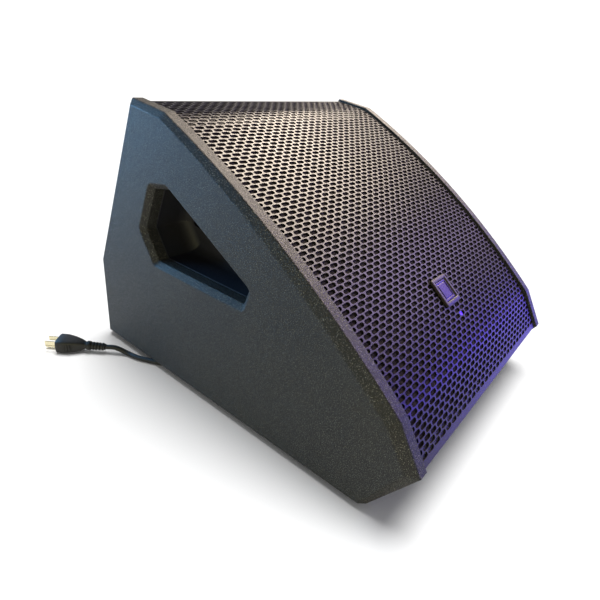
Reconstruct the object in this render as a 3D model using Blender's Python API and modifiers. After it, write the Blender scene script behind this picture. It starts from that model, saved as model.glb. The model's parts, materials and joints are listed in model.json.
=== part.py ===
"""A powered stage monitor wedge, in metres, +Z up, front at -Y.

The origin is on the floor under the middle of the cabinet. Two plywood cheeks carry a ring of
walls, a baffle with a coaxial driver and two ports, a curved perforated grille, moulded handle
cups, an amplifier on the sloped back and a mains lead.
"""

import math

import bmesh
import bpy
from mathutils import Matrix, Vector

# Driving dimensions
GAP = 0.0003
WIDTH = 0.426
DEPTH = 0.505
FOOT_HEIGHT = 0.009
BODY_HEIGHT = 0.335
CHEEK = 0.0195
CHEEK_CHAMFER = 0.0064
WALL = 0.015
BAFFLE = 0.018

# How far each face of the shell lies inside the cheeks' outline
GRILLE_RECESS = 0.0033
GRILLE_SHEET = 0.0015
FOAM = 0.004
REAR_LOWER_RECESS = 0.002
REAR_UPPER_RECESS = 0.014
FRONT_LOWER_RECESS = 0.002
TOP_RAIL_FACE = 0.018
BAFFLE_RECESS = 0.017

# The cheeks' outline in (y, z), seen from the right side
REAR = DEPTH / 2
FRONT_BOTTOM = (-0.2087, FOOT_HEIGHT)
REAR_BOTTOM = (REAR, FOOT_HEIGHT)
REAR_BEND = (REAR, 0.125)
TOP_REAR = (0.1603, FOOT_HEIGHT + BODY_HEIGHT)
TOP_BEND = (0.1053, 0.3375)
LOWER_BEND = (-0.2222, 0.1252)
FRONT_LIP = (-REAR, 0.0778)
FRONT_RISE = 0.0153
ARC_STEPS = 20

# Handle pocket: its chamfered lip's outer corners in (y, z), and the radius of each
POCKET = [(0.1300, 0.2575), (0.0975, 0.2630), (-0.0380, 0.1860), (-0.0285, 0.1565),
          (0.1270, 0.1555), (0.1545, 0.1960)]
POCKET_RADII = [0.010, 0.010, 0.008, 0.006, 0.006, 0.012]
CUP_DEPTH = 0.050
CUP_WALL = 0.003
CUP_FLANGE = 0.010

# Driver, in the baffle's own frame: z = 0 on its front face
DRIVER_LIFT = 0.012
BASKET_RADIUS = 0.156
BASKET_HOLE = 0.1395
BOLT_CIRCLE = 0.1495
BOLT_RADIUS = 0.003
BOLT_COUNT = 4
PORT_RADIUS = 0.030
PORT_WALL = 0.002
PORT_LENGTH = 0.080
PORT_PLACE = (0.148, -0.150)
TURN_STEPS = 32

# Badge and power light on the grille, as distances down the arc from its upper bend
BADGE_SIDE = 0.037
BADGE_PLATE_SIDE = 0.027
BADGE_ALONG = 0.318
BADGE_X = -0.007
LED_ALONG = 0.352
LED_RADIUS = 0.0025

# Amplifier, in the rear face's own frame: x to the right from behind, y up the slope, z outwards
AMP_PANEL = (0.300, 0.176, 0.003)
AMP_OPENING = (0.280, 0.156)
JACK_PLACES = [(0.020, -0.040), (0.062, -0.040)]
LINK_PLACE = (0.104, -0.040)
LEVEL_PLACES = [(0.020, 0.016), (0.062, 0.016)]
ENCODER_PLACE = (0.104, 0.022)
INLET_PLACE = (-0.104, -0.048)
ROCKER_PLACE = (-0.104, 0.004)
ROCKER_TILT = math.radians(10)
JACK_RADIUS = 0.0118
KNOB_RADIUS = 0.0085
SHAFT_RADIUS = 0.0030

# Mains lead
LEAD_RADIUS = 0.0035
COIL_PLACE = (-0.030, 0.306)
COIL_RADIUS = 0.0385
COIL_WIDTH = 0.0146
COIL_HEIGHT = 0.0215
PLUG_NECK = (-0.2444, 0.2057)
PLUG_HEADING = (-0.624, 0.7815)
PLUG_SIZE = (0.026, 0.0205, 0.038)
RELIEF_LENGTH = 0.027


def clear_scene():
    for item in list(bpy.data.objects):
        bpy.data.objects.remove(item)


def make_collection(name, hidden=False):
    collection = bpy.data.collections.new(name)
    bpy.context.scene.collection.children.link(collection)
    collection.hide_render = hidden
    return collection


def make_material(name, colour, roughness, metallic=0.0):
    material = bpy.data.materials.new(name)
    material.use_nodes = True
    shader = material.node_tree.nodes["Principled BSDF"]
    shader.inputs["Base Color"].default_value = (*colour, 1.0)
    shader.inputs["Roughness"].default_value = roughness
    shader.inputs["Metallic"].default_value = metallic
    return material


clear_scene()
PARTS = make_collection("stage_monitor_wedge")
CUTTERS = make_collection("cutters", hidden=True)
GUIDES = make_collection("guides", hidden=True)

BLACK_COAT = make_material("textured_coating", (0.018, 0.020, 0.023), 0.62)
STEEL = make_material("black_steel", (0.03, 0.03, 0.034), 0.4, 0.6)
BARE_STEEL = make_material("zinc_steel", (0.55, 0.56, 0.58), 0.35, 1.0)
PLASTIC = make_material("black_plastic", (0.015, 0.017, 0.022), 0.45)
RUBBER = make_material("black_rubber", (0.02, 0.02, 0.02), 0.8)
FOAM_BLACK = make_material("acoustic_foam", (0.012, 0.012, 0.013), 0.95)
PAPER = make_material("coated_paper", (0.02, 0.02, 0.022), 0.85)
CLOTH = make_material("treated_cloth", (0.35, 0.22, 0.08), 0.9)
FERRITE = make_material("ferrite", (0.05, 0.05, 0.055), 0.7, 0.2)
ALUMINIUM = make_material("cast_aluminium", (0.25, 0.26, 0.27), 0.5, 1.0)
COPPER = make_material("copper_winding", (0.72, 0.35, 0.18), 0.35, 1.0)
CIRCUIT = make_material("circuit_board", (0.02, 0.12, 0.05), 0.5)
BRASS = make_material("plated_brass", (0.75, 0.68, 0.45), 0.3, 1.0)
BLUE_LENS = make_material("blue_lens", (0.02, 0.05, 0.8), 0.2)
BADGE_METAL = make_material("dark_metal", (0.12, 0.12, 0.14), 0.35, 0.8)


# ---- outlines in a plane ----

def line_meeting(a, b, c, d):
    """Where the line a-b meets the line c-d."""
    along = (b[0] - a[0], b[1] - a[1])
    other = (d[0] - c[0], d[1] - c[1])
    cross = along[0] * other[1] - along[1] * other[0]
    if abs(cross) < 1e-12:
        return b
    t = ((c[0] - a[0]) * other[1] - (c[1] - a[1]) * other[0]) / cross
    return (a[0] + along[0] * t, a[1] + along[1] * t)


def signed_area(points):
    pairs = zip(points, points[1:] + points[:1])
    return sum(a[0] * b[1] - b[0] * a[1] for a, b in pairs) / 2


def inset(points, distances):
    """The closed outline with each side moved inwards by its own distance."""
    if not isinstance(distances, list):
        distances = [distances] * len(points)
    turn = 1 if signed_area(points) > 0 else -1
    moved = []
    for (a, b), distance in zip(zip(points, points[1:] + points[:1]), distances):
        length = math.dist(a, b)
        shift = (-(b[1] - a[1]) / length * distance * turn, (b[0] - a[0]) / length * distance * turn)
        moved.append(((a[0] + shift[0], a[1] + shift[1]), (b[0] + shift[0], b[1] + shift[1])))
    return [line_meeting(*before, *after) for before, after in zip(moved[-1:] + moved[:-1], moved)]


def round_corners(points, radii, steps=4):
    """The closed outline with each corner turned into an arc."""
    result = []
    for i, corner in enumerate(points):
        here = Vector(corner)
        to_last = (Vector(points[i - 1]) - here).normalized()
        to_next = (Vector(points[(i + 1) % len(points)]) - here).normalized()
        half = to_last.angle(to_next) / 2
        centre = here + (to_last + to_next).normalized() * radii[i] / math.sin(half)
        start = here + to_last * radii[i] / math.tan(half) - centre
        finish = here + to_next * radii[i] / math.tan(half) - centre
        sweep = start.angle_signed(finish)
        for step in range(steps + 1):
            turned = Matrix.Rotation(-sweep * step / steps, 2) @ start
            result.append(tuple(centre + turned))
    return result


def bowed(start, end, rise, steps):
    """Points on the arc from start to end that bulges by rise to the right of the way."""
    start, end = Vector(start), Vector(end)
    chord = (end - start).length
    along = (end - start) / chord
    out = Vector((along.y, -along.x))
    radius = (chord * chord / 4 + rise * rise) / (2 * rise)
    half = math.asin(chord / 2 / radius)
    centre = (start + end) / 2 + out * (rise - radius)
    angles = [half * (2 * step / steps - 1) for step in range(steps + 1)]
    return [tuple(centre + radius * (math.cos(a) * out + math.sin(a) * along)) for a in angles]


FRONT_ARC = bowed(TOP_BEND, LOWER_BEND, FRONT_RISE, ARC_STEPS)
OUTLINE = [FRONT_BOTTOM, REAR_BOTTOM, REAR_BEND, TOP_REAR] + FRONT_ARC + [FRONT_LIP]
STRAIGHT_OUTLINE = [FRONT_BOTTOM, REAR_BOTTOM, REAR_BEND, TOP_REAR, TOP_BEND, LOWER_BEND, FRONT_LIP]


def shell_distances(top, front, strip, front_sides, rear=REAR_UPPER_RECESS):
    """The recess of each side of an outline, bottom first."""
    return ([0.0, REAR_LOWER_RECESS, rear, top] + [front] * front_sides
            + [strip, FRONT_LOWER_RECESS])


def front_skin(recess, thickness):
    """A closed strip that follows the front of the cabinet from the top's rear edge to the lip."""
    rear = REAR_LOWER_RECESS
    outer = inset(OUTLINE, shell_distances(recess, recess, recess, ARC_STEPS, rear))[3:]
    deep = recess + thickness
    inner = inset(OUTLINE, shell_distances(deep, deep, deep, ARC_STEPS, rear))[3:]
    return outer + inner[::-1]


# ---- solids ----

def place(item, name, material, matrix=None, parent=None):
    """Names the object, gives it its material and puts it in the parts' collection."""
    item.name = name
    item.data.name = name
    item.data.materials.clear()
    item.data.materials.append(material)
    for collection in list(item.users_collection):
        collection.objects.unlink(item)
    PARTS.objects.link(item)
    if parent:
        item.parent = parent
    if matrix is not None:
        item.matrix_local = matrix
    return item


def as_cutter(item):
    for collection in list(item.users_collection):
        collection.objects.unlink(item)
    CUTTERS.objects.link(item)
    item.hide_render = True
    item.display_type = "WIRE"
    return item


def boolean(item, other, operation):
    modifier = item.modifiers.new(operation.lower(), "BOOLEAN")
    modifier.operation = operation
    modifier.solver = "EXACT"
    modifier.object = as_cutter(other)


def flat_curve(loops, thickness):
    """A 2D curve filled between its loops, thickness deep about local z = 0."""
    curve = bpy.data.curves.new("outline", "CURVE")
    curve.dimensions = "2D"
    curve.fill_mode = "BOTH"
    curve.extrude = thickness / 2
    for loop in loops:
        spline = curve.splines.new("POLY")
        spline.points.add(len(loop) - 1)
        for point, (x, y) in zip(spline.points, loop):
            point.co = (x, y, 0, 1)
        spline.use_cyclic_u = True
    item = bpy.data.objects.new("outline", curve)
    GUIDES.objects.link(item)
    return item


def as_mesh(curve_item):
    """The curve object as a mesh object with its caps welded on."""
    curve_item.hide_render = False
    graph = bpy.context.evaluated_depsgraph_get()
    graph.update()
    mesh = bpy.data.meshes.new_from_object(curve_item.evaluated_get(graph))
    item = bpy.data.objects.new("solid", mesh)
    item.matrix_world = curve_item.matrix_world
    GUIDES.objects.link(item)
    bpy.data.objects.remove(curve_item)
    shape = bmesh.new()
    shape.from_mesh(mesh)
    bmesh.ops.remove_doubles(shape, verts=shape.verts, dist=1e-6)
    bmesh.ops.recalc_face_normals(shape, faces=shape.faces)
    shape.to_mesh(mesh)
    shape.free()
    return item


def prism(loops, thickness):
    return as_mesh(flat_curve(loops, thickness))


def across(x):
    """Puts an outline drawn in (y, z) in the plane at this x, its thickness along x."""
    axes = Matrix(((0, 0, 1), (1, 0, 0), (0, 1, 0))).to_4x4()
    return Matrix.Translation((x, 0, 0)) @ axes


def new_mesh_item(shape):
    mesh = bpy.data.meshes.new("solid")
    shape.to_mesh(mesh)
    shape.free()
    item = bpy.data.objects.new("solid", mesh)
    GUIDES.objects.link(item)
    return item


def block(size, centre, bevel=0.0):
    shape = bmesh.new()
    bmesh.ops.create_cube(shape, size=1)
    bmesh.ops.scale(shape, verts=shape.verts, vec=size)
    bmesh.ops.translate(shape, verts=shape.verts, vec=centre)
    item = new_mesh_item(shape)
    if bevel:
        modifier = item.modifiers.new("edges", "BEVEL")
        modifier.width = bevel
        modifier.segments = 2
    return item


def rod(radius, low, high, centre=(0, 0), top_radius=None, sides=24):
    """A round bar, or a cone, along local z from low to high."""
    shape = bmesh.new()
    bmesh.ops.create_cone(
        shape, cap_ends=True, segments=sides, radius1=radius,
        radius2=radius if top_radius is None else top_radius, depth=high - low)
    bmesh.ops.translate(shape, verts=shape.verts, vec=(*centre, (low + high) / 2))
    return new_mesh_item(shape)


def turned(profile, steps=TURN_STEPS):
    """A solid turned about local z from a closed (radius, z) profile, or one that ends on the axis."""
    if signed_area(profile) > 0:
        profile = profile[::-1]
    shape = bmesh.new()
    verts = [shape.verts.new((radius, 0, z)) for radius, z in profile]
    for a, b in zip(verts, verts[1:] + verts[:1]):
        if a.co.x > 1e-9 or b.co.x > 1e-9:
            shape.edges.new((a, b))
    item = new_mesh_item(shape)
    screw = item.modifiers.new("turn", "SCREW")
    screw.steps = steps
    screw.render_steps = steps
    screw.use_merge_vertices = True
    screw.merge_threshold = 0.00001
    return item


def smooth(item, angle=35):
    item.data.shade_smooth()
    item.data.set_sharp_from_angle(angle=math.radians(angle))
    return item


def frame_empty(name, origin, x_axis, y_axis, z_axis):
    """An empty whose axes are the given ones."""
    empty = bpy.data.objects.new(name, None)
    PARTS.objects.link(empty)
    axes = Matrix((x_axis, y_axis, z_axis)).transposed().to_4x4()
    empty.matrix_world = Matrix.Translation(origin) @ axes
    return empty


def at(x, y, z=0.0):
    return Matrix.Translation((x, y, z))


# ---- cabinet ----

def chamfer_outer_rim(item, outer_sign):
    """Chamfers every edge of the cheek's outer face but the one it stands on."""
    shape = bmesh.new()
    shape.from_mesh(item.data)
    weight = shape.edges.layers.float.new("bevel_weight_edge")
    for edge in shape.edges:
        on_outer = all(v.co.z * outer_sign > 0 for v in edge.verts)
        on_floor = all(abs(v.co.y - FOOT_HEIGHT) < 1e-5 for v in edge.verts)
        if on_outer and not on_floor and edge.calc_face_angle(0) > math.radians(60):
            edge[weight] = 1
    shape.to_mesh(item.data)
    shape.free()
    bevel = item.modifiers.new("chamfer", "BEVEL")
    bevel.limit_method = "WEIGHT"
    bevel.width = CHEEK_CHAMFER
    bevel.segments = 1


def pocket_opening(grow=0.0):
    """The pocket's outline inside its chamfered lip, grown outwards by this much."""
    radii = [max(r - CHEEK_CHAMFER, 0.003) + grow for r in POCKET_RADII]
    return round_corners(inset(POCKET, CHEEK_CHAMFER - grow), radii)


def make_cheek(name, side):
    item = prism([OUTLINE, pocket_opening()], CHEEK)
    chamfer_outer_rim(item, side)
    place(item, name, BLACK_COAT, across(side * (WIDTH - CHEEK) / 2))


def make_walls():
    """The seven walls between the cheeks.

    The top rail covers the sloped rear wall's top end and meets the baffle under the grille, and
    the front lower panel runs up past the lower baffle to the grille.
    """
    under_grille = GRILLE_RECESS + GRILLE_SHEET + GAP
    outer_depths = shell_distances(under_grille, BAFFLE_RECESS, BAFFLE_RECESS, 1)
    inner_depths = [d + WALL for d in outer_depths[:4]] + [BAFFLE_RECESS + BAFFLE] * 2
    inner_depths.append(FRONT_LOWER_RECESS + WALL)
    outer = inset(STRAIGHT_OUTLINE, outer_depths)
    inner = inset(STRAIGHT_OUTLINE, inner_depths)
    apex = line_meeting(inner[2], inner[3], inner[4], inner[5])
    rail_depths = shell_distances(under_grille, BAFFLE_RECESS, BAFFLE_RECESS, 1, REAR_LOWER_RECESS)
    rail_top = Vector(inset(STRAIGHT_OUTLINE, rail_depths)[3])
    rail_low = rail_top + (Vector(REAR_BEND) - Vector(TOP_REAR)).normalized() * TOP_RAIL_FACE
    rear_top = line_meeting(outer[2], outer[3], rail_low, apex)
    lip_outer = inset(STRAIGHT_OUTLINE, outer_depths[:5] + [under_grille, FRONT_LOWER_RECESS])[6]
    lip_inner = inset(STRAIGHT_OUTLINE, outer_depths[:5] + [under_grille, inner_depths[6]])[6]
    baffle_end = inset(STRAIGHT_OUTLINE, outer_depths[:6] + [inner_depths[6]])[6]
    sections = {
        "bottom_panel": [outer[0], outer[1], inner[1], inner[0]],
        "rear_lower_panel": [outer[1], outer[2], inner[2], inner[1]],
        "rear_upper_panel": [outer[2], rear_top, apex, inner[2]],
        "top_rail": [tuple(rail_low), tuple(rail_top), outer[4], apex],
        "front_baffle": [outer[4], outer[5], inner[5], apex],
        "lower_baffle": [outer[5], baffle_end, inner[6], inner[5]],
        "front_lower_panel": [lip_outer, outer[0], inner[0], lip_inner],
    }
    length = WIDTH - 2 * CHEEK - 2 * GAP
    walls = {}
    for name, corners in sections.items():
        walls[name] = place(prism([inset(corners, GAP / 2)], length), name, BLACK_COAT, across(0))
    return walls


def make_handle_cup(name, side):
    """A moulded tray behind the cheek's pocket, open to the outside, with a screwed flange."""
    cavity = pocket_opening(0.001)
    body = pocket_opening(0.001 + CUP_WALL)
    rim = pocket_opening(CUP_FLANGE)
    face = WIDTH / 2 - CHEEK - GAP
    cup = prism([body], CUP_DEPTH)
    cup.matrix_world = across(side * (face - CUP_DEPTH / 2))
    flange = prism([rim], CUP_WALL)
    flange.matrix_world = across(side * (face - CUP_WALL / 2))
    hollow = prism([cavity], CUP_DEPTH)
    hollow.matrix_world = across(side * (face - CUP_DEPTH / 2 + CUP_WALL))
    boolean(cup, flange, "UNION")
    boolean(cup, hollow, "DIFFERENCE")
    place(cup, name, PLASTIC, cup.matrix_world.copy())


def make_feet():
    for name, x, y in (("foot_front_left", -1, -0.160), ("foot_front_right", 1, -0.160),
                       ("foot_rear_left", -1, 0.205), ("foot_rear_right", 1, 0.205)):
        foot = smooth(rod(0.0155, 0, FOOT_HEIGHT - GAP, top_radius=0.018, sides=28))
        place(foot, name, RUBBER, at(x * 0.172, y))


# ---- grille ----

def make_grille():
    length = WIDTH - 2 * CHEEK - 2 * GAP
    sheet = prism([front_skin(GRILLE_RECESS, GRILLE_SHEET)], length)
    place(sheet, "grille", STEEL, across(0))
    foam_start = GRILLE_RECESS + GRILLE_SHEET + GAP
    depths = shell_distances(foam_start, foam_start, foam_start, ARC_STEPS)
    depths[-1] = FRONT_LOWER_RECESS + WALL
    outer = inset(OUTLINE, depths)[5:]
    inner = inset(OUTLINE, [d + FOAM for d in depths[:-1]] + depths[-1:])[5:]
    foam = prism([outer + inner[::-1]], length - 0.004)
    return place(foam, "grille_foam", FOAM_BLACK, across(0))


def arc_frame(name, along, x):
    """An empty on the grille's outer face, this far down its arc from the upper bend."""
    skin = inset(OUTLINE, shell_distances(GRILLE_RECESS, GRILLE_RECESS, GRILLE_RECESS, ARC_STEPS))
    arc = [Vector(p) for p in skin[4:5 + ARC_STEPS]]
    for start, end in zip(arc, arc[1:]):
        step = (end - start).length
        if along <= step:
            break
        along -= step
    down = (end - start) / step
    place_yz = start + down * along
    return frame_empty(name, (x, *place_yz), (1, 0, 0), (0, -down.x, -down.y), (0, down.y, -down.x))


def make_badge_and_light(foam):
    badge = arc_frame("badge_frame_axis", BADGE_ALONG, BADGE_X)
    half = BADGE_SIDE / 2
    square = [(-half, -half), (half, -half), (half, half), (-half, half)]
    opening = inset(square, (BADGE_SIDE - BADGE_PLATE_SIDE) / 2 - GAP)
    rim = prism([round_corners(square, [0.003] * 4), opening], 0.0034)
    bevel = rim.modifiers.new("edges", "BEVEL")
    bevel.width = 0.001
    bevel.segments = 1
    bevel.limit_method = "ANGLE"
    bevel.angle_limit = math.radians(60)
    place(rim, "badge_frame", PLASTIC, at(0, 0, 0.0021), badge)
    plate = block((BADGE_PLATE_SIDE - GAP, BADGE_PLATE_SIDE - GAP, 0.002), (0, 0, 0.0014), 0.0004)
    place(plate, "badge_plate", BADGE_METAL, Matrix(), badge)
    light = arc_frame("power_light_axis", LED_ALONG, 0)
    surface = -GRILLE_SHEET - GAP
    lens = smooth(rod(LED_RADIUS, surface - 0.0075, surface, sides=20))
    place(lens, "power_led", BLUE_LENS, Matrix(), light)
    hole = rod(LED_RADIUS + GAP, -0.02, 0.002, sides=20)
    hole.matrix_world = light.matrix_world.copy()
    boolean(foam, hole, "DIFFERENCE")


# ---- driver ----

def baffle_frame():
    """An empty on the baffle's front face: x across, y up the baffle, z outwards."""
    low, high = Vector(LOWER_BEND), Vector(TOP_BEND)
    up = (high - low).normalized()
    out = Vector((-up.y, up.x))
    centre = (low + high) / 2 - out * BAFFLE_RECESS
    return frame_empty("baffle_axis", (0, *centre), (1, 0, 0), (0, *up), (0, *out))


def bolt_places():
    for i in range(BOLT_COUNT):
        angle = math.tau * (i + 0.5) / BOLT_COUNT
        yield BOLT_CIRCLE * math.cos(angle), BOLT_CIRCLE * math.sin(angle)


def drill(item, frame, places, radius, low, high, sides=24):
    """Cuts a round hole through the item at each place of the frame."""
    for x, y in places:
        tool = rod(radius, low, high, sides=sides)
        tool.matrix_world = frame.matrix_world @ at(x, y)
        boolean(item, tool, "DIFFERENCE")


def roll_arc(radius, steps=6):
    """Points over the top of the surround's half roll, from its outer side to its inner side."""
    turns = [math.pi * i / steps for i in range(steps + 1)]
    return [(0.1295 + radius * math.cos(a), 0.006 + radius * math.sin(a)) for a in turns]


def roll_profile():
    """The surround: a half roll between a lip on the basket and a lip beside the cone."""
    return ([(0.142, 0.0048), (0.142, 0.006)] + roll_arc(0.0075)
            + [(0.122, -0.001), (0.1232, -0.001)] + roll_arc(0.0063)[::-1] + [(0.1358, 0.0048)])


def spider_profile(ridges=8):
    """The spider: a corrugated ring from the basket's floor up to the voice coil."""
    steps = [i / ridges for i in range(ridges + 1)]
    low = [(0.080 - 0.0385 * t, -0.0727 + 0.010 * t + 0.0012 * (-1) ** i) for i, t in enumerate(steps)]
    top = [(radius, z + 0.0008) for radius, z in low]
    return top + low[::-1]


def make_basket(driver):
    basket = turned([
        (0.156, 0.0003), (0.156, 0.0045), (0.136, 0.0045), (0.134, 0.001), (0.131, -0.004),
        (0.082, -0.068), (0.082, -0.0742), (0.045, -0.0742), (0.045, -0.078), (0.086, -0.078),
        (0.086, -0.069), (0.138, -0.002), (0.1388, 0.0003)])
    place(basket, "woofer_basket", ALUMINIUM, Matrix(), driver)
    for i in range(3):
        window = block((0.400, 0.052, 0.040), (0, 0, -0.040))
        window.matrix_world = driver.matrix_world @ Matrix.Rotation(math.pi * i / 3, 4, "Z")
        boolean(basket, window, "DIFFERENCE")
    drill(basket, driver, bolt_places(), BOLT_RADIUS + GAP, -0.002, 0.010, 12)


def make_driver(walls):
    baffle = baffle_frame()
    driver = frame_empty("driver_axis", baffle.matrix_world @ Vector((0, DRIVER_LIFT, 0)),
                         *[baffle.matrix_world.col[i].to_3d() for i in range(3)])
    bpy.context.view_layer.update()
    front = walls["front_baffle"]
    drill(front, driver, [(0, 0)], BASKET_HOLE, -0.05, 0.02, 48)
    drill(front, driver, bolt_places(), BOLT_RADIUS + GAP, -0.05, 0.02, 12)
    make_basket(driver)
    turned_parts = {
        "woofer_gasket": (RUBBER, [(0.1435, 0.0048), (0.156, 0.0048), (0.156, 0.009), (0.1435, 0.009)]),
        "woofer_surround": (CLOTH, roll_profile()),
        "woofer_cone": (PAPER, [
            (0.1215, -0.0006), (0.1215, -0.0026), (0.041, -0.0525), (0.0384, -0.0525),
            (0.0384, -0.0505), (0.040, -0.0505), (0.120, -0.0006)]),
        "woofer_spider": (CLOTH, spider_profile()),
        "voice_coil": (COPPER, [
            (0.0382, -0.0528), (0.0394, -0.0528), (0.0394, -0.080), (0.0404, -0.080),
            (0.0404, -0.094), (0.0382, -0.094)]),
        "magnet_ring": (FERRITE, [
            (0.0418, -0.0783), (0.088, -0.0783), (0.088, -0.086), (0.092, -0.086),
            (0.092, -0.1117), (0.048, -0.1117), (0.048, -0.086), (0.0418, -0.086)]),
        "magnet_yoke": (BARE_STEEL, [
            (0.018, -0.080), (0.037, -0.080), (0.037, -0.112), (0.087, -0.112), (0.087, -0.120),
            (0.018, -0.120)]),
        "coaxial_horn": (PLASTIC, [
            (0.013, -0.0797), (0.030, -0.0797), (0.030, -0.077), (0.0165, -0.074), (0.018, -0.060),
            (0.023, -0.047), (0.037, -0.0335), (0.061, -0.0165), (0.061, -0.012), (0.058, -0.012),
            (0.034, -0.030), (0.020, -0.045), (0.0145, -0.060)]),
        "compression_driver": (FERRITE, [
            (0.013, -0.1203), (0.042, -0.1203), (0.045, -0.124), (0.045, -0.150), (0.040, -0.158),
            (0.0, -0.158), (0.0, -0.128), (0.013, -0.128)]),
    }
    for name, (material, profile) in turned_parts.items():
        item = place(turned(profile), name, material, Matrix(), driver)
        if name == "woofer_gasket":
            drill(item, driver, bolt_places(), BOLT_RADIUS + GAP, 0.000, 0.012, 12)
    for i, (x, y) in enumerate(bolt_places()):
        bolt = turned([(0, 0.0125), (0.0052, 0.0125), (0.0055, 0.0093), (BOLT_RADIUS, 0.0093),
                       (BOLT_RADIUS, -0.028), (0, -0.028)], 12)
        place(bolt, f"woofer_bolt_{i + 1}", BARE_STEEL, at(x, y), driver)
    for name, side in (("port_tube_left", -1), ("port_tube_right", 1)):
        spot = (side * PORT_PLACE[0], PORT_PLACE[1])
        drill(front, baffle, [spot], PORT_RADIUS + GAP, -0.05, 0.02, 32)
        outer, inner = PORT_RADIUS, PORT_RADIUS - PORT_WALL
        tube = turned([(inner, 0), (outer + 0.004, 0.0025), (outer + 0.004, GAP), (outer, GAP),
                       (outer, -PORT_LENGTH), (inner, -PORT_LENGTH)], 32)
        place(tube, name, PLASTIC, at(*spot), baffle)


# ---- amplifier ----

def rear_frame():
    """An empty on the sloped rear wall's outer face: x right from behind, y up, z outwards."""
    low, high = Vector(REAR_BEND), Vector(TOP_REAR)
    up = (high - low).normalized()
    out = Vector((up.y, -up.x))
    centre = (low + high) / 2 - out * (REAR_UPPER_RECESS + GAP / 2)
    return frame_empty("rear_axis", (0, *centre), (-1, 0, 0), (0, *up), (0, *out))


def make_knob(name, parent, spot, radius, base, height, stem):
    """A turned knob; stem is its underside from the axis out, as (radius, z) points."""
    top = base + height
    knob = turned([(0, top), (radius * 0.86, top), (radius * 0.95, top - height * 0.1), (radius, base)]
                  + stem, 28)
    place(knob, name, PLASTIC, at(*spot), parent)


def make_jack(name, latch_name, parent, spot, face):
    """A combination jack with its flange, socket and release tab."""
    flange = block((0.026, 0.031, 0.0022), (0, 0, face + GAP + 0.0011))
    body = rod(JACK_RADIUS, -0.024, face + 0.001, sides=28)
    boolean(flange, body, "UNION")
    boolean(flange, rod(0.0092, -0.018, face + 0.02, sides=28), "DIFFERENCE")
    boolean(flange, block((0.0078, 0.0062, 0.02), (0, 0.0122, face + 0.0085)), "DIFFERENCE")
    place(flange, name, PLASTIC, at(*spot), parent)
    tab = block((0.0070, 0.0050, 0.0040), (0, 0.0122, face + 0.0022), 0.0005)
    place(tab, latch_name, BARE_STEEL, at(*spot), parent)
    for helper in flange.modifiers:
        helper.object.matrix_world = parent.matrix_world @ at(*spot)


def make_amplifier(walls):
    rear = rear_frame()
    bpy.context.view_layer.update()
    opening = block((*AMP_OPENING, 0.08), (0, 0, 0))
    opening.matrix_world = rear.matrix_world.copy()
    boolean(walls["rear_upper_panel"], opening, "DIFFERENCE")
    face = AMP_PANEL[2] + GAP
    panel = block(AMP_PANEL, (0, 0, GAP + AMP_PANEL[2] / 2))
    place(panel, "amp_panel", STEEL, Matrix(), rear)
    drill(panel, rear, JACK_PLACES + [LINK_PLACE], JACK_RADIUS + GAP, -0.01, 0.02, 28)
    drill(panel, rear, LEVEL_PLACES + [ENCODER_PLACE], 0.0034, -0.01, 0.02, 16)
    for spot, size in ((INLET_PLACE, (0.0286, 0.0226)), (ROCKER_PLACE, (0.0216, 0.0146))):
        hole = block((*size, 0.04), (0, 0, 0))
        hole.matrix_world = rear.matrix_world @ at(*spot)
        boolean(panel, hole, "DIFFERENCE")
    for i, spot in enumerate(JACK_PLACES):
        slot = block((0.0078, 0.0062, 0.02), (0, 0.0122, face))
        slot.matrix_world = rear.matrix_world @ at(*spot)
        boolean(panel, slot, "DIFFERENCE")
        make_jack(f"combo_jack_{i + 1}", f"jack_latch_{i + 1}", rear, spot, face)
    link = turned([(0, -0.022), (JACK_RADIUS, -0.022), (JACK_RADIUS, face + GAP), (0.0150, face + GAP),
                   (0.0150, face + 0.0025), (0.0100, face + 0.0025), (0.0100, -0.016), (0, -0.016)], 28)
    place(link, "link_jack", PLASTIC, at(*LINK_PLACE), rear)
    for i, spot in enumerate(LEVEL_PLACES):
        base = face + 0.0008
        stem = [(SHAFT_RADIUS, base), (SHAFT_RADIUS, -0.010), (0, -0.010)]
        make_knob(f"level_knob_{i + 1}", rear, spot, KNOB_RADIUS, base, 0.0105, stem)
    tip, base, bore = face + 0.0060, face + 0.0012, SHAFT_RADIUS + GAP
    shaft = rod(SHAFT_RADIUS, -0.012, tip, sides=20)
    place(shaft, "encoder_shaft", BARE_STEEL, at(*ENCODER_PLACE), rear)
    socket = [(bore, base), (bore, tip + GAP), (0, tip + GAP)]
    make_knob("encoder_knob", rear, ENCODER_PLACE, 0.0115, base, 0.0110, socket)
    make_inlet(rear, face)
    make_rocker(rear, face)
    make_internals(rear)
    return rear


def make_inlet(rear, face):
    """The appliance inlet: a flanged socket with three pins left out of the solid."""
    inlet = block((0.050, 0.0285, 0.0022), (0, 0, face + GAP + 0.0011))
    body = block((0.028, 0.022, 0.026), (0, 0, face - 0.012))
    hollow = block((0.0250, 0.0170, 0.0200), (0, 0, face + 0.003 - 0.010))
    for helper, operation in ((body, "UNION"), (hollow, "DIFFERENCE")):
        boolean(inlet, helper, operation)
        helper.matrix_world = rear.matrix_world @ at(*INLET_PLACE)
    place(inlet, "mains_inlet", PLASTIC, at(*INLET_PLACE), rear)


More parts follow.
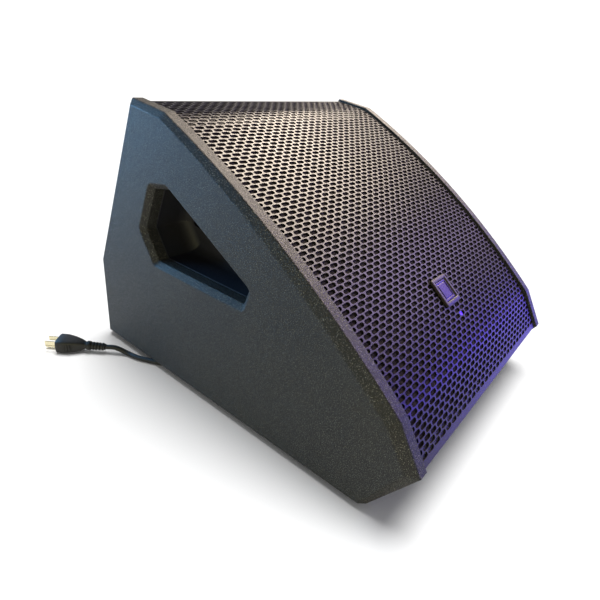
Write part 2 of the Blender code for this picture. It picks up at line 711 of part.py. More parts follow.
def make_rocker(rear, face):
    """The power switch: a bezel and a rocker on a cross axis, resting pressed at its lower end."""
    bezel = block((0.0260, 0.0190, 0.0020), (0, 0, face + GAP + 0.001))
    body = block((0.0210, 0.0140, 0.020), (0, 0, face - 0.0095))
    hollow = block((0.0185, 0.0115, 0.019), (0, 0, face + 0.003 - 0.0095))
    for helper, operation in ((body, "UNION"), (hollow, "DIFFERENCE")):
        boolean(bezel, helper, operation)
        helper.matrix_world = rear.matrix_world @ at(*ROCKER_PLACE)
    place(bezel, "switch_bezel", PLASTIC, at(*ROCKER_PLACE), rear)
    half = 0.0085
    side = [(-half, 0.0012), (-half, 0.0038), (0, 0.0026), (half, 0.0038), (half, 0.0012), (0, -0.0020)]
    rocker = prism([side], 0.0108)
    turn = Matrix.Rotation(math.pi / 2, 4, "X")
    tilt = Matrix.Rotation(ROCKER_TILT, 4, "Y")
    place(rocker, "power_rocker", PLASTIC, at(*ROCKER_PLACE, face) @ tilt @ turn, rear)


def make_internals(rear):
    """What the amplifier carries inside the cabinet."""
    base, fins, pitch = 0.004, 9, 0.0055
    comb = [(-0.003, 0), (fins * pitch - 0.0010, 0)]
    for i in range(fins, 0, -1):
        right = i * pitch - 0.0010
        comb += [(right, -0.026), (right - 0.0022, -0.026), (right - 0.0022, -base), (right - pitch, -base)]
    comb = comb[:-1] + [(-0.003, -base)]
    heatsink = prism([comb], 0.130)
    turn = Matrix.Rotation(math.pi / 2, 4, "X")
    place(heatsink, "heatsink", ALUMINIUM, at(-0.070, 0.004, 0) @ turn, rear)
    board = block((0.146, 0.140, 0.0016), (0.063, 0, -0.028))
    place(board, "circuit_board", CIRCUIT, Matrix(), rear)
    supply = block((0.110, 0.130, 0.036), (-0.073, 0, -0.050), 0.001)
    place(supply, "power_supply", BARE_STEEL, Matrix(), rear)


# ---- mains lead ----

def through(points, spacing):
    """A smooth curve through the route's points, as points this far apart."""
    ends = [points[0] * 2 - points[1]] + points + [points[-1] * 2 - points[-2]]
    fine = []
    for a, b, c, d in zip(ends, ends[1:], ends[2:], ends[3:]):
        for i in range(40):
            t = i / 40
            fine.append(0.5 * (2 * b + (c - a) * t + (2 * a - 5 * b + 4 * c - d) * t * t
                               + (3 * b - a - 3 * c + d) * t ** 3))
    fine.append(points[-1])
    length = sum((b - a).length for a, b in zip(fine, fine[1:]))
    count = max(2, round(length / spacing))
    result, travelled, wanted = [fine[0]], 0.0, length / count
    for a, b in zip(fine, fine[1:]):
        step = (b - a).length
        while travelled + step >= wanted * len(result) - 1e-9 and len(result) < count:
            result.append(a.lerp(b, (wanted * len(result) - travelled) / step))
        travelled += step
    return result + [fine[-1]]


def make_tube(name, route):
    curve = bpy.data.curves.new(name, "CURVE")
    curve.dimensions = "3D"
    curve.bevel_depth = LEAD_RADIUS
    curve.bevel_resolution = 2
    curve.use_fill_caps = True
    points = through([Vector(p) for p in route], 6 * LEAD_RADIUS)
    spline = curve.splines.new("POLY")
    spline.points.add(len(points) - 1)
    for point, co in zip(spline.points, points):
        point.co = (*co, 1)
    item = bpy.data.objects.new(name, curve)
    GUIDES.objects.link(item)
    place(item, name, RUBBER)


def make_connector(rear, face):
    """The lead's connector in the inlet, with its moulded strain relief."""
    body = block((0.0240, 0.0160, 0.050), (0, 0, face + 0.0125), 0.003)
    relief = rod(0.0065, face + 0.030, face + 0.037 + RELIEF_LENGTH, top_radius=0.0045, sides=20)
    relief.matrix_world = rear.matrix_world @ at(*INLET_PLACE)
    boolean(body, relief, "UNION")
    place(body, "mains_connector", RUBBER, at(*INLET_PLACE), rear)
    return rear.matrix_world @ Vector((*INLET_PLACE, face + 0.037 + RELIEF_LENGTH + GAP))


def plug_frame():
    """An empty at the cord's end of the plug: z along the plug, y up."""
    ahead = Vector((*PLUG_HEADING, 0)).normalized()
    up = Vector((0, 0, 1))
    place_xyz = (*PLUG_NECK, PLUG_SIZE[1] / 2 + GAP)
    return frame_empty("plug_axis", place_xyz, up.cross(ahead), up, ahead)


def make_plug():
    plug = plug_frame()
    bpy.context.view_layer.update()
    width, height, length = PLUG_SIZE
    body = block(PLUG_SIZE, (0, 0, RELIEF_LENGTH + length / 2), 0.005)
    relief = rod(0.0045, 0, RELIEF_LENGTH + 0.006, top_radius=0.0060, sides=20)
    relief.matrix_world = plug.matrix_world.copy()
    boolean(body, relief, "UNION")
    place(body, "mains_plug", RUBBER, Matrix(), plug)
    tip = RELIEF_LENGTH + length + GAP
    for name, x in (("plug_blade_line", -0.00635), ("plug_blade_neutral", 0.00635)):
        blade = block((0.0015, 0.0064, 0.0160), (x, 0.0025, tip + 0.0080), 0.0003)
        place(blade, name, BRASS, Matrix(), plug)
    pin = smooth(rod(0.0024, tip, tip + 0.0185, (0, -0.0060), sides=16))
    place(pin, "plug_earth_pin", BRASS, Matrix(), plug)


def make_lead(rear):
    """The lead: connector, drop to the floor, coil behind the cabinet, run under it, plug."""
    exit_point = make_connector(rear, AMP_PANEL[2] + GAP)
    out = rear.matrix_world.col[2].to_3d()
    down_z = LEAD_RADIUS + GAP
    coil_x, coil_y = COIL_PLACE
    beside = COIL_RADIUS + COIL_WIDTH / 2 + LEAD_RADIUS + GAP
    drop = [exit_point, exit_point + out * 0.018, (0.103, 0.337, 0.160), (0.100, 0.345, 0.120),
            (0.094, 0.346, 0.070), (0.080, 0.347, 0.030), (0.060, 0.350, 0.008),
            (0.034, 0.353, down_z), (coil_x + 0.034, coil_y + beside, down_z),
            (coil_x, coil_y + beside, down_z)]
    make_tube("mains_lead_rear", drop)
    heading = Vector((*PLUG_HEADING, 0)).normalized()
    plug_end = Vector((*PLUG_NECK, PLUG_SIZE[1] / 2 + GAP)) - heading * 2 * GAP
    run = [(coil_x - beside, coil_y, down_z), (coil_x - beside - 0.001, coil_y - 0.030, down_z),
           (-0.088, 0.240, down_z), (-0.098, 0.205, down_z), (-0.108, 0.168, down_z),
           (-0.122, 0.130, down_z), (-0.148, 0.104, down_z), (-0.180, 0.104, down_z),
           (-0.2035, 0.1265, down_z), (-0.2179, 0.1537, down_z), (-0.2228, 0.1665, down_z),
           (-0.2262, 0.1800, 0.0043), plug_end - heading * 0.014, plug_end]
    make_tube("mains_lead_run", run)
    inner, outer = COIL_RADIUS - COIL_WIDTH / 2, COIL_RADIUS + COIL_WIDTH / 2
    ring = turned([(inner + 0.003, GAP), (outer - 0.003, GAP), (outer, GAP + 0.003),
                   (outer, COIL_HEIGHT - 0.003), (outer - 0.003, COIL_HEIGHT), (inner + 0.003, COIL_HEIGHT),
                   (inner, COIL_HEIGHT - 0.003), (inner, GAP + 0.003)], 40)
    place(smooth(ring), "mains_lead_coil", RUBBER, at(coil_x, coil_y))


make_cheek("left_side_panel", -1)
make_cheek("right_side_panel", 1)
WALLS = make_walls()
make_handle_cup("left_handle_cup", -1)
make_handle_cup("right_handle_cup", 1)
make_feet()
make_badge_and_light(make_grille())
make_driver(WALLS)
REAR_AXIS = make_amplifier(WALLS)
make_lead(REAR_AXIS)
make_plug()
bpy.context.view_layer.update()
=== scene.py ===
"""The looks of a powered stage monitor wedge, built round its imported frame: metres, +Z up, front at -Y."""
import json
import math

import bmesh
import bpy
from mathutils import Matrix, Vector

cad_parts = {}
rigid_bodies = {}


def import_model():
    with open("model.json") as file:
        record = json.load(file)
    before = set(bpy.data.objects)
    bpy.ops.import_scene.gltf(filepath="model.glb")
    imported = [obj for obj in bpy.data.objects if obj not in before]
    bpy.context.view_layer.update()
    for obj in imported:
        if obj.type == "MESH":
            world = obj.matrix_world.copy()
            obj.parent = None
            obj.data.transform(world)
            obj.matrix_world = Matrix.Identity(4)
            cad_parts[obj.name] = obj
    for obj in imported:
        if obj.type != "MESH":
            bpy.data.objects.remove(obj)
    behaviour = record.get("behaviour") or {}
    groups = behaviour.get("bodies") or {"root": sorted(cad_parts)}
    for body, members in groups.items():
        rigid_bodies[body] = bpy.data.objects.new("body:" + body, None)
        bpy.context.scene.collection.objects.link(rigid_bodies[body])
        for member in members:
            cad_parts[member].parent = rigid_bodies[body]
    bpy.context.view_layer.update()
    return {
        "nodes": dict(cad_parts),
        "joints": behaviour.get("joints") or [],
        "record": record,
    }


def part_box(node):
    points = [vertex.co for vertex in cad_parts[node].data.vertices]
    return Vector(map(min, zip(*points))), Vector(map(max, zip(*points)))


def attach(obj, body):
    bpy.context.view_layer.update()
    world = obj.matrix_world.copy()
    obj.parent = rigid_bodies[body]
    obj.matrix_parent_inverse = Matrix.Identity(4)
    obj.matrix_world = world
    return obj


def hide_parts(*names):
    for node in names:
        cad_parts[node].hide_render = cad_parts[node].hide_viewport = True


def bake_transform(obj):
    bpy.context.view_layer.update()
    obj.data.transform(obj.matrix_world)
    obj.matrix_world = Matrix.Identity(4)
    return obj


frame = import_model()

# Camera, at the photograph's viewing angle
CAMERA_PLACE = (-0.5239, -0.32642, 0.40282)
CAMERA_RIGHT = (0.62617, -0.77302, 0.10175)
CAMERA_UP = (0.30540, 0.36325, 0.88022)
CAMERA_LENS = 27.831

# Cheeks and handle pockets
EDGE_CHAMFER = 0.0064
EDGE_SOFTNESS = 0.0012
# The rim chamfer grows to this ratio between these two y places down the front edge
FRONT_CHAMFER_RATIO = 1.9
CHAMFER_WIDENS = 0.09
CHAMFER_WIDEST = -0.17
CHAMFER_KEPT_BELOW = 0.07
UNDERSIDE = 0.012
ARC_STEPS = 72
LONG_SIDE = 0.03
CUP_WALL = 0.003
CUP_DEPTH = 0.047
CUP_BOTTOM_RADIUS = 0.018

# Grille: slots in running bond
SHEET = 0.0015
SLOT_COLUMNS = 27
ROW = 0.00594
SLOT = (0.0123, 0.0049)
SIDE_MARGIN = 0.0018
TOP_MARGIN = 0.0022
LIP_MARGIN = 0.0025
BEND_RADIUS = 0.010

# Badge: half widths of its frame and of its window
BADGE_HALF = 0.0185
BADGE_WINDOW = 0.0133

# Mains lead: its route down from the inlet, its coil, and its route out to the plug
LEAD_RADIUS = 0.0035
FLOOR_GAP = 0.0003
COIL_PLACE = (-0.030, 0.306)
COIL_RADIUS = 0.0385
COIL_TURNS = 5
COIL_STEPS = 40
OUTER_TURN = 0.0422
INNER_TURN = 0.0350
BESIDE_COIL = 0.0496
LAYER = 0.0071
LEAD_EXIT = (0.1040, 0.27428, 0.21100)
DROP_POINTS = [(0.1040, 0.29087, 0.21798), (0.103, 0.337, 0.160), (0.100, 0.345, 0.120),
               (0.094, 0.346, 0.070), (0.080, 0.347, 0.030), (0.060, 0.350, 0.008),
               (0.034, 0.353, 0.0038), (0.004, 0.3556, 0.0038)]
RUN_POINTS = [(-0.0806, 0.276, 0.0038), (-0.088, 0.240, 0.0038), (-0.098, 0.205, 0.0038),
              (-0.108, 0.168, 0.0038), (-0.122, 0.130, 0.0038), (-0.148, 0.104, 0.0038),
              (-0.180, 0.104, 0.0038), (-0.2035, 0.1265, 0.0038), (-0.2179, 0.1537, 0.0038),
              (-0.2228, 0.1665, 0.0038), (-0.2262, 0.1800, 0.0043)]
PLUG_NECK = (-0.2444, 0.2057, 0.01055)
PLUG_HEADING = (-0.624, 0.7815, 0.0)
PLUG_SIZE = (0.026, 0.0205, 0.038)
RELIEF_LENGTH = 0.027


# ---- scene and helpers ----

def joint(name):
    return next(item for item in frame["joints"] if item["name"] == name)


def linked(item):
    bpy.context.scene.collection.objects.link(item)
    return item


def placed(origin, x, y, z):
    """A matrix at the origin with these three axes."""
    return Matrix.Translation(origin) @ Matrix((x, y, z)).transposed().to_4x4()


def make_camera():
    camera = bpy.data.objects.new("camera", bpy.data.cameras.new("camera"))
    camera.data.lens = CAMERA_LENS
    camera.data.sensor_width = 36
    camera.data.clip_start = 0.02
    back = Vector(CAMERA_RIGHT).cross(Vector(CAMERA_UP))
    camera.matrix_world = placed(CAMERA_PLACE, CAMERA_RIGHT, CAMERA_UP, back)
    bpy.context.scene.camera = linked(camera)


def finished(item, name, look, body="cabinet", replaces=()):
    """Names the piece, and says its material, its body and the nodes that it stands for."""
    item.name = name
    item.data.name = name
    item.data.materials.clear()
    item.data.materials.append(look)
    linked(item)
    if body:
        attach(item, body)
    if replaces:
        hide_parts(*replaces)
    return item


def mesh_item(verts, faces, smooth_angle=32.0):
    mesh = bpy.data.meshes.new("piece")
    mesh.from_pydata([tuple(v) for v in verts], [], faces)
    mesh.validate()
    shape = bmesh.new()
    shape.from_mesh(mesh)
    bpy.data.meshes.remove(mesh)
    return from_bmesh(shape, smooth_angle=smooth_angle)


def from_bmesh(shape, matrix=None, smooth_angle=32.0):
    """A smooth-shaded object of the shape, sharp at edges past the angle, with normals outwards."""
    bmesh.ops.recalc_face_normals(shape, faces=shape.faces)
    if matrix is not None:
        shape.transform(matrix)
    mesh = bpy.data.meshes.new("piece")
    shape.to_mesh(mesh)
    shape.free()
    mesh.shade_smooth()
    mesh.set_sharp_from_angle(angle=math.radians(smooth_angle))
    return bpy.data.objects.new("piece", mesh)


def tube_faces(rings, sides, closed=False):
    """The quads between each ring of vertices and the next, and if closed from the last to the first."""
    faces = []
    for r in range(rings if closed else rings - 1):
        s = (r + 1) % rings
        for i in range(sides):
            k = (i + 1) % sides
            faces.append((r * sides + i, r * sides + k, s * sides + k, s * sides + i))
    return faces


def end_faces(rings, sides):
    """The two faces that close the first and the last ring."""
    return [tuple(range(sides)), tuple(range((rings - 1) * sides, rings * sides))]


def bend(start, corner, finish, steps):
    """Points of a curve from start to finish that is drawn towards the corner."""
    points = []
    for i in range(steps + 1):
        t = i / steps
        points.append(start * (1 - t) ** 2 + corner * 2 * t * (1 - t) + finish * t * t)
    return points


def lathe(profile, sides=48, matrix=None, wobble=None, smooth_angle=32.0):
    """A closed solid turned about local z from a (radius, z) profile that starts and ends on the axis,
    or that closes on itself. wobble(angle, radius, z) may change the radius."""
    closed_ring = profile[0][0] > 1e-9
    verts, faces, rings = [], [], []
    for radius, z in profile:
        if radius < 1e-9:
            rings.append([len(verts)] * sides)
            verts.append((0, 0, z))
            continue
        ring = []
        for i in range(sides):
            angle = math.tau * i / sides
            r = wobble(angle, radius, z) if wobble else radius
            ring.append(len(verts))
            verts.append((r * math.cos(angle), r * math.sin(angle), z))
        rings.append(ring)
    pairs = list(zip(rings, rings[1:]))
    if closed_ring:
        pairs.append((rings[-1], rings[0]))
    for low, high in pairs:
        for i in range(sides):
            k = (i + 1) % sides
            corner = []
            for index in (low[i], low[k], high[k], high[i]):
                if index not in corner:
                    corner.append(index)
            if len(corner) > 2:
                faces.append(corner)
    if matrix is not None:
        verts = [matrix @ Vector(v) for v in verts]
    return mesh_item(verts, faces, smooth_angle)


def soft_box(size, matrix, radius, segments=3):
    """A box with rounded edges, centred on the matrix."""
    shape = bmesh.new()
    bmesh.ops.create_cube(shape, size=1)
    bmesh.ops.scale(shape, verts=shape.verts, vec=size)
    bmesh.ops.bevel(shape, geom=shape.edges[:], offset=radius, segments=segments, profile=0.5,
                    affect="EDGES")
    return flat_faced(from_bmesh(shape, matrix, 50))


def flat_faced(item):
    """Lets each large flat face keep its own normal, so that only the narrow roundings shade."""
    weighted = item.modifiers.new("flat_faces", "WEIGHTED_NORMAL")
    weighted.keep_sharp = True
    weighted.weight = 100
    return item


def joined(items):
    """The meshes of the items as one mesh item."""
    shape = bmesh.new()
    for item in items:
        shape.from_mesh(item.data)
        bpy.data.objects.remove(item)
    mesh = bpy.data.meshes.new("piece")
    shape.to_mesh(mesh)
    shape.free()
    return bpy.data.objects.new("piece", mesh)


# ---- outlines ----

def hull(points):
    """The convex outline of 2D points, anticlockwise."""
    points = sorted(set(points))

    def half(run):
        kept = []
        for p in run:
            while len(kept) > 1 and turn_of(kept[-2], kept[-1], p) <= 1e-10:
                kept.pop()
            kept.append(p)
        return kept[:-1]
    return half(points) + half(points[::-1])


def turn_of(a, b, c):
    return (b[0] - a[0]) * (c[1] - a[1]) - (b[1] - a[1]) * (c[0] - a[0])


def section_points(node, at_x=None):
    """The (y, z) places of a CAD node's vertices, or only of those at this x."""
    places = [v.co for v in frame["nodes"][node].data.vertices]
    return [(round(co.y, 6), round(co.z, 6)) for co in places
            if at_x is None or abs(co.x - at_x) < 1e-5]


def rotated_from(points, start):
    return points[start:] + points[:start]


def finer_arc(points):
    """The outline with its run of short sides replaced by a finer arc through the same ends."""
    count = len(points)
    lengths = [math.dist(points[i], points[(i + 1) % count]) for i in range(count)]
    start = next(i for i in range(count) if lengths[i] < LONG_SIDE <= lengths[i - 1]
                 and lengths[(i + 5) % count] < LONG_SIDE)
    points, lengths = rotated_from(points, start), rotated_from(lengths, start)
    steps = next(i for i in range(count) if lengths[i] >= LONG_SIDE)
    arc = arc_through(*(Vector(points[i]) for i in (0, steps // 2, steps)))
    return [tuple(p) for p in arc] + points[steps + 1:]


def arc_through(a, b, c):
    """Points of the circle's arc from a through b to c."""
    centre = circle_centre(a, b, c)
    sweep = (a - centre).angle_signed(c - centre)
    angles = [-sweep * i / ARC_STEPS for i in range(ARC_STEPS + 1)]
    return [centre + Matrix.Rotation(angle, 2) @ (a - centre) for angle in angles]


def circle_centre(a, b, c):
    d = 2 * (a.x * (b.y - c.y) + b.x * (c.y - a.y) + c.x * (a.y - b.y))
    aa, bb, cc = a.length_squared, b.length_squared, c.length_squared
    return Vector(((aa * (b.y - c.y) + bb * (c.y - a.y) + cc * (a.y - b.y)) / d,
                   (aa * (c.x - b.x) + bb * (a.x - c.x) + cc * (b.x - a.x)) / d))


def line_meeting(a, b, c, d):
    along = (b[0] - a[0], b[1] - a[1])
    other = (d[0] - c[0], d[1] - c[1])
    cross = along[0] * other[1] - along[1] * other[0]
    if abs(cross) < 1e-12:
        return b
    t = ((c[0] - a[0]) * other[1] - (c[1] - a[1]) * other[0]) / cross
    return (a[0] + along[0] * t, a[1] + along[1] * t)


def inset(points, distances):
    """The closed anticlockwise outline with each side moved inwards by its distance."""
    moved = []
    for a, b, d in zip(points, points[1:] + points[:1], distances):
        length = math.dist(a, b)
        shift = (-(b[1] - a[1]) / length * d, (b[0] - a[0]) / length * d)
        moved.append(((a[0] + shift[0], a[1] + shift[1]), (b[0] + shift[0], b[1] + shift[1])))
    return [line_meeting(*before, *after) for before, after in zip(moved[-1:] + moved[:-1], moved)]


def corners_cut(points, share=0.25):
    """The closed outline with every corner cut once, which rounds its facets."""
    result = []
    for a, b in zip(points, points[1:] + points[:1]):
        a, b = Vector(a), Vector(b)
        result += [tuple(a.lerp(b, share)), tuple(a.lerp(b, 1 - share))]
    return result


# ---- cabinet ----

def rim_profile(depth, chamfer, soft, steps=3):
    """(depth, inset) from the inner face round the chamfered outer edge, with soft corners."""
    corners = ((0, 0), (depth - chamfer, 0), (depth, chamfer), (depth, chamfer + soft * 3))
    line = [Vector(corner) for corner in corners]
    result = [(0.0, 0.0)]
    for last, corner, following in zip(line, line[1:], line[2:]):
        start = corner + (last - corner).normalized() * soft
        finish = corner + (following - corner).normalized() * soft
        result += [tuple(point) for point in bend(start, corner, finish, steps)]
    return result


def cheek_outlines(cheek, side):
    """The x of a cheek's inner face, the outline there and the rounded outline of its pocket."""
    low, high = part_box(cheek)
    inner_x = high.x if side < 0 else low.x
    points = section_points(cheek, inner_x)
    outline = hull(points)
    pocket = hull([p for p in points if inside_of(outline, p, 0.02)])
    return inner_x, outline, corners_cut(pocket)


def make_cheek(name, side, look):
    """A cheek with a chamfered, softened outer rim and pocket lip. The rim's underside is square."""
    low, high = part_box(name)
    inner_x, outline, pocket = cheek_outlines(name, side)
    shape = bmesh.new()
    edges = []
    for loop, direction in ((finer_arc(outline), 1), (pocket, -1)):
        flat = [0.0 if max(a[1], b[1]) < UNDERSIDE else 1.0 for a, b in zip(loop, loop[1:] + loop[:1])]
        rings = []
        for depth, inward in rim_profile(high.x - low.x, EDGE_CHAMFER, EDGE_SOFTNESS):
            moved = inset(loop, [direction * inward * f for f in flat])
            if direction > 0:
                moved = wider_at_front(loop, moved, inward)
            rings.append([shape.verts.new((inner_x + side * depth, *p)) for p in moved])
        for first, second in zip(rings, rings[1:]):
            for i in range(len(first)):
                k = (i + 1) % len(first)
                shape.faces.new((first[i], first[k], second[k], second[i]))
        edges.append((rings[0], rings[-1]))
    for which in (0, 1):
        around = []
        for pair in edges:
            loop = pair[which]
            for a, b in zip(loop, loop[1:] + loop[:1]):
                around.append(shape.edges.get((a, b)) or shape.edges.new((a, b)))
        bmesh.ops.triangle_fill(shape, use_beauty=True, use_dissolve=False, edges=around)
    item = flat_faced(from_bmesh(shape, smooth_angle=40))
    finished(item, f"{name}_coated", look, replaces=[name])


def wider_at_front(loop, moved, inward):
    """The rim loop with its front points further in, since the chamfer widens down the front edge."""
    result = []
    for last, here, following, point in zip(loop[-1:] + loop[:-1], loop, loop[1:] + loop[:1], moved):
        y, z = here
        share = min(max((CHAMFER_WIDENS - y) / (CHAMFER_WIDENS - CHAMFER_WIDEST), 0.0), 1.0)
        if z < CHAMFER_KEPT_BELOW or share == 0:
            result.append(point)
            continue
        here = Vector(here)
        way = (here - Vector(last)).normalized() + (Vector(following) - here).normalized()
        normal = Vector((-way.y, way.x)).normalized()
        result.append(tuple(Vector(point) + normal * inward * share * (FRONT_CHAMFER_RATIO - 1)))
    return result


def inside_of(outline, point, margin):
    for a, b in zip(outline, outline[1:] + outline[:1]):
        if turn_of(a, b, point) / math.dist(a, b) < margin:
            return False
    return True


def make_cup(name, side, look):
    """The moulded tray of a handle pocket, with a rounded floor and a flange behind the cheek."""
    low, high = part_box(name)
    face = low.x if side < 0 else high.x
    pocket = cheek_outlines(name.replace("handle_cup", "side_panel"), side)[2]
    soft = CUP_BOTTOM_RADIUS
    layers = [(CUP_DEPTH + CUP_WALL, 0.012), (CUP_DEPTH - 0.006, -0.0020), (CUP_WALL, -0.0042),
              (CUP_WALL, -0.0095), (0.0, -0.0095), (0.0, -0.0006), (0.0002, 0.0003), (0.0008, 0.0006),
              (0.0014, 0.0003), (0.0018, -0.0010), (CUP_DEPTH - soft, -0.0006)]
    for i in range(1, 13):
        angle = math.pi / 2 * i / 12
        inward = -0.0006 + 0.8 * soft * (1 - math.cos(angle))
        layers.append((CUP_DEPTH - soft * (1 - math.sin(angle)), inward))
    verts = []
    for depth, inward in layers:
        verts += [(face - side * depth, *p) for p in inset(pocket, [inward] * len(pocket))]
    size = (len(layers), len(pocket))
    item = mesh_item(verts, tube_faces(*size) + end_faces(*size), 40)
    finished(item, f"{name}_moulding", look, replaces=[name])


def make_foot(name, look, steel):
    """A turned rubber foot with the head of its screw sunk in it."""
    low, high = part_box(name)
    height, wide = high.z, (high.x - low.x) / 2
    place = Matrix.Translation(((low.x + high.x) / 2, (low.y + high.y) / 2, 0))
    profile = [(0, height * 0.62), (0.0042, height * 0.62), (0.0046, height * 0.56), (0.0046, 0.0008),
               (0.0054, 0.0), (wide * 0.82, 0.0), (wide * 0.86, 0.0006), (wide - 0.0006, height - 0.0016),
               (wide, height - 0.0009), (wide - 0.0006, height), (0, height)]
    finished(lathe(profile, 56, place), f"{name}_rubber", look, replaces=[name])
    spot = place @ shift(0, 0, height * 0.62 - 0.0003) @ Matrix.Rotation(math.pi, 4, "X")
    finished(pan_screw(0.0040, 0.0018, spot), f"{name}_screw", steel)


def pan_screw(radius, height, matrix):
    """A domed screw head with a cross recess, its seat on the matrix's z = 0 plane."""
    profile = [(0, height * 0.35)]
    for i in range(7):
        angle = math.pi / 2 * i / 6
        r = radius * (0.42 + 0.58 * math.sin(angle))
        profile.append((r, height * (0.35 + 0.65 * math.cos(angle)) if i < 6 else height * 0.22))
    profile += [(radius, 0.0), (0, 0.0)]

    def crossed(angle, r, z):
        if r > radius * 0.45:
            return r
        return r * (1.0 + 0.45 * math.cos(4 * angle))
    return lathe(profile, 32, matrix, crossed, 30)


# ---- grille ----

class Path:
    """A smooth line in (y, z) that gives a point and an outward normal at a distance along it."""

    def __init__(self, points):
        self.points = [Vector(p) for p in points]
        self.along = [0.0]
        for a, b in zip(self.points, self.points[1:]):
            self.along.append(self.along[-1] + (b - a).length)
        sides = [(b - a).normalized() for a, b in zip(self.points, self.points[1:])]
        sides = sides[:1] + sides + sides[-1:]
        self.normals = []
        for last, following in zip(sides, sides[1:]):
            way = (last + following).normalized()
            self.normals.append(Vector((way.y, -way.x)))
        self.length = self.along[-1]

    def at(self, distance):
        distance = min(max(distance, 0.0), self.length)
        i = 0
        while self.along[i + 1] < distance - 1e-12 and i < len(self.along) - 2:
            i += 1
        t = (distance - self.along[i]) / (self.along[i + 1] - self.along[i])
        normal = self.normals[i].lerp(self.normals[i + 1], t).normalized()
        return self.points[i].lerp(self.points[i + 1], t), normal

    def nearest(self, point):
        point = Vector(point)
        best = min(range(len(self.points)), key=lambda i: (self.points[i] - point).length)
        low = self.along[max(best - 1, 0)]
        high = self.along[min(best + 1, len(self.points) - 1)]
        places = [low + (high - low) * i / 200 for i in range(201)]
        return min(places, key=lambda distance: (self.at(distance)[0] - point).length)


def grille_path():
    """The grille's outer face in section, from the top's rear edge to the front lip, bends rounded."""
    loop = hull(section_points("grille"))
    count = len(loop)

    def low_side(i):
        a, b = loop[i], loop[(i + 1) % count]
        return math.dist(a, b) if min(a[1], b[1]) < 0.12 else 0
    chord = max(range(count), key=low_side)
    line = rotated_from(loop, (chord + 1) % count)[1:-1]
    lengths = [math.dist(a, b) for a, b in zip(line, line[1:])]
    arc_start = next(i for i, length in enumerate(lengths) if length < LONG_SIDE)
    arc_end = next((i for i in range(arc_start, len(lengths)) if lengths[i] > LONG_SIDE), len(lengths))
    arc = arc_through(*(Vector(line[i]) for i in (arc_start, (arc_start + arc_end) // 2, arc_end)))
    top, lip = Vector(line[0]), Vector(line[-1])
    return Path([top] + rounded_bend(top, arc) + arc[4:-4] + rounded_bend(lip, arc[::-1])[::-1] + [lip])


def rounded_bend(end, arc):
    """A short curve that joins the straight from end to the arc's first point onto the arc."""
    start = arc[0] + (end - arc[0]).normalized() * BEND_RADIUS
    return bend(start, arc[0], arc[3], 6)


def slot_ring(centre, length, height):
    """Twelve points round a slot with round ends, from the middle of its upper side clockwise."""
    x, y = centre
    reach, radius = length / 2 - height / 2, height / 2
    ring = [(x, y + radius)]
    for angle in (90, 45, 0, -45, -90):
        a = math.radians(angle)
        ring.append((x + reach + radius * math.cos(a), y + radius * math.sin(a)))
    ring.append((x, y - radius))
    for angle in (-90, -135, -180, -225, -270):
        a = math.radians(angle)
        ring.append((x - reach + radius * math.cos(a), y + radius * math.sin(a)))
    return ring


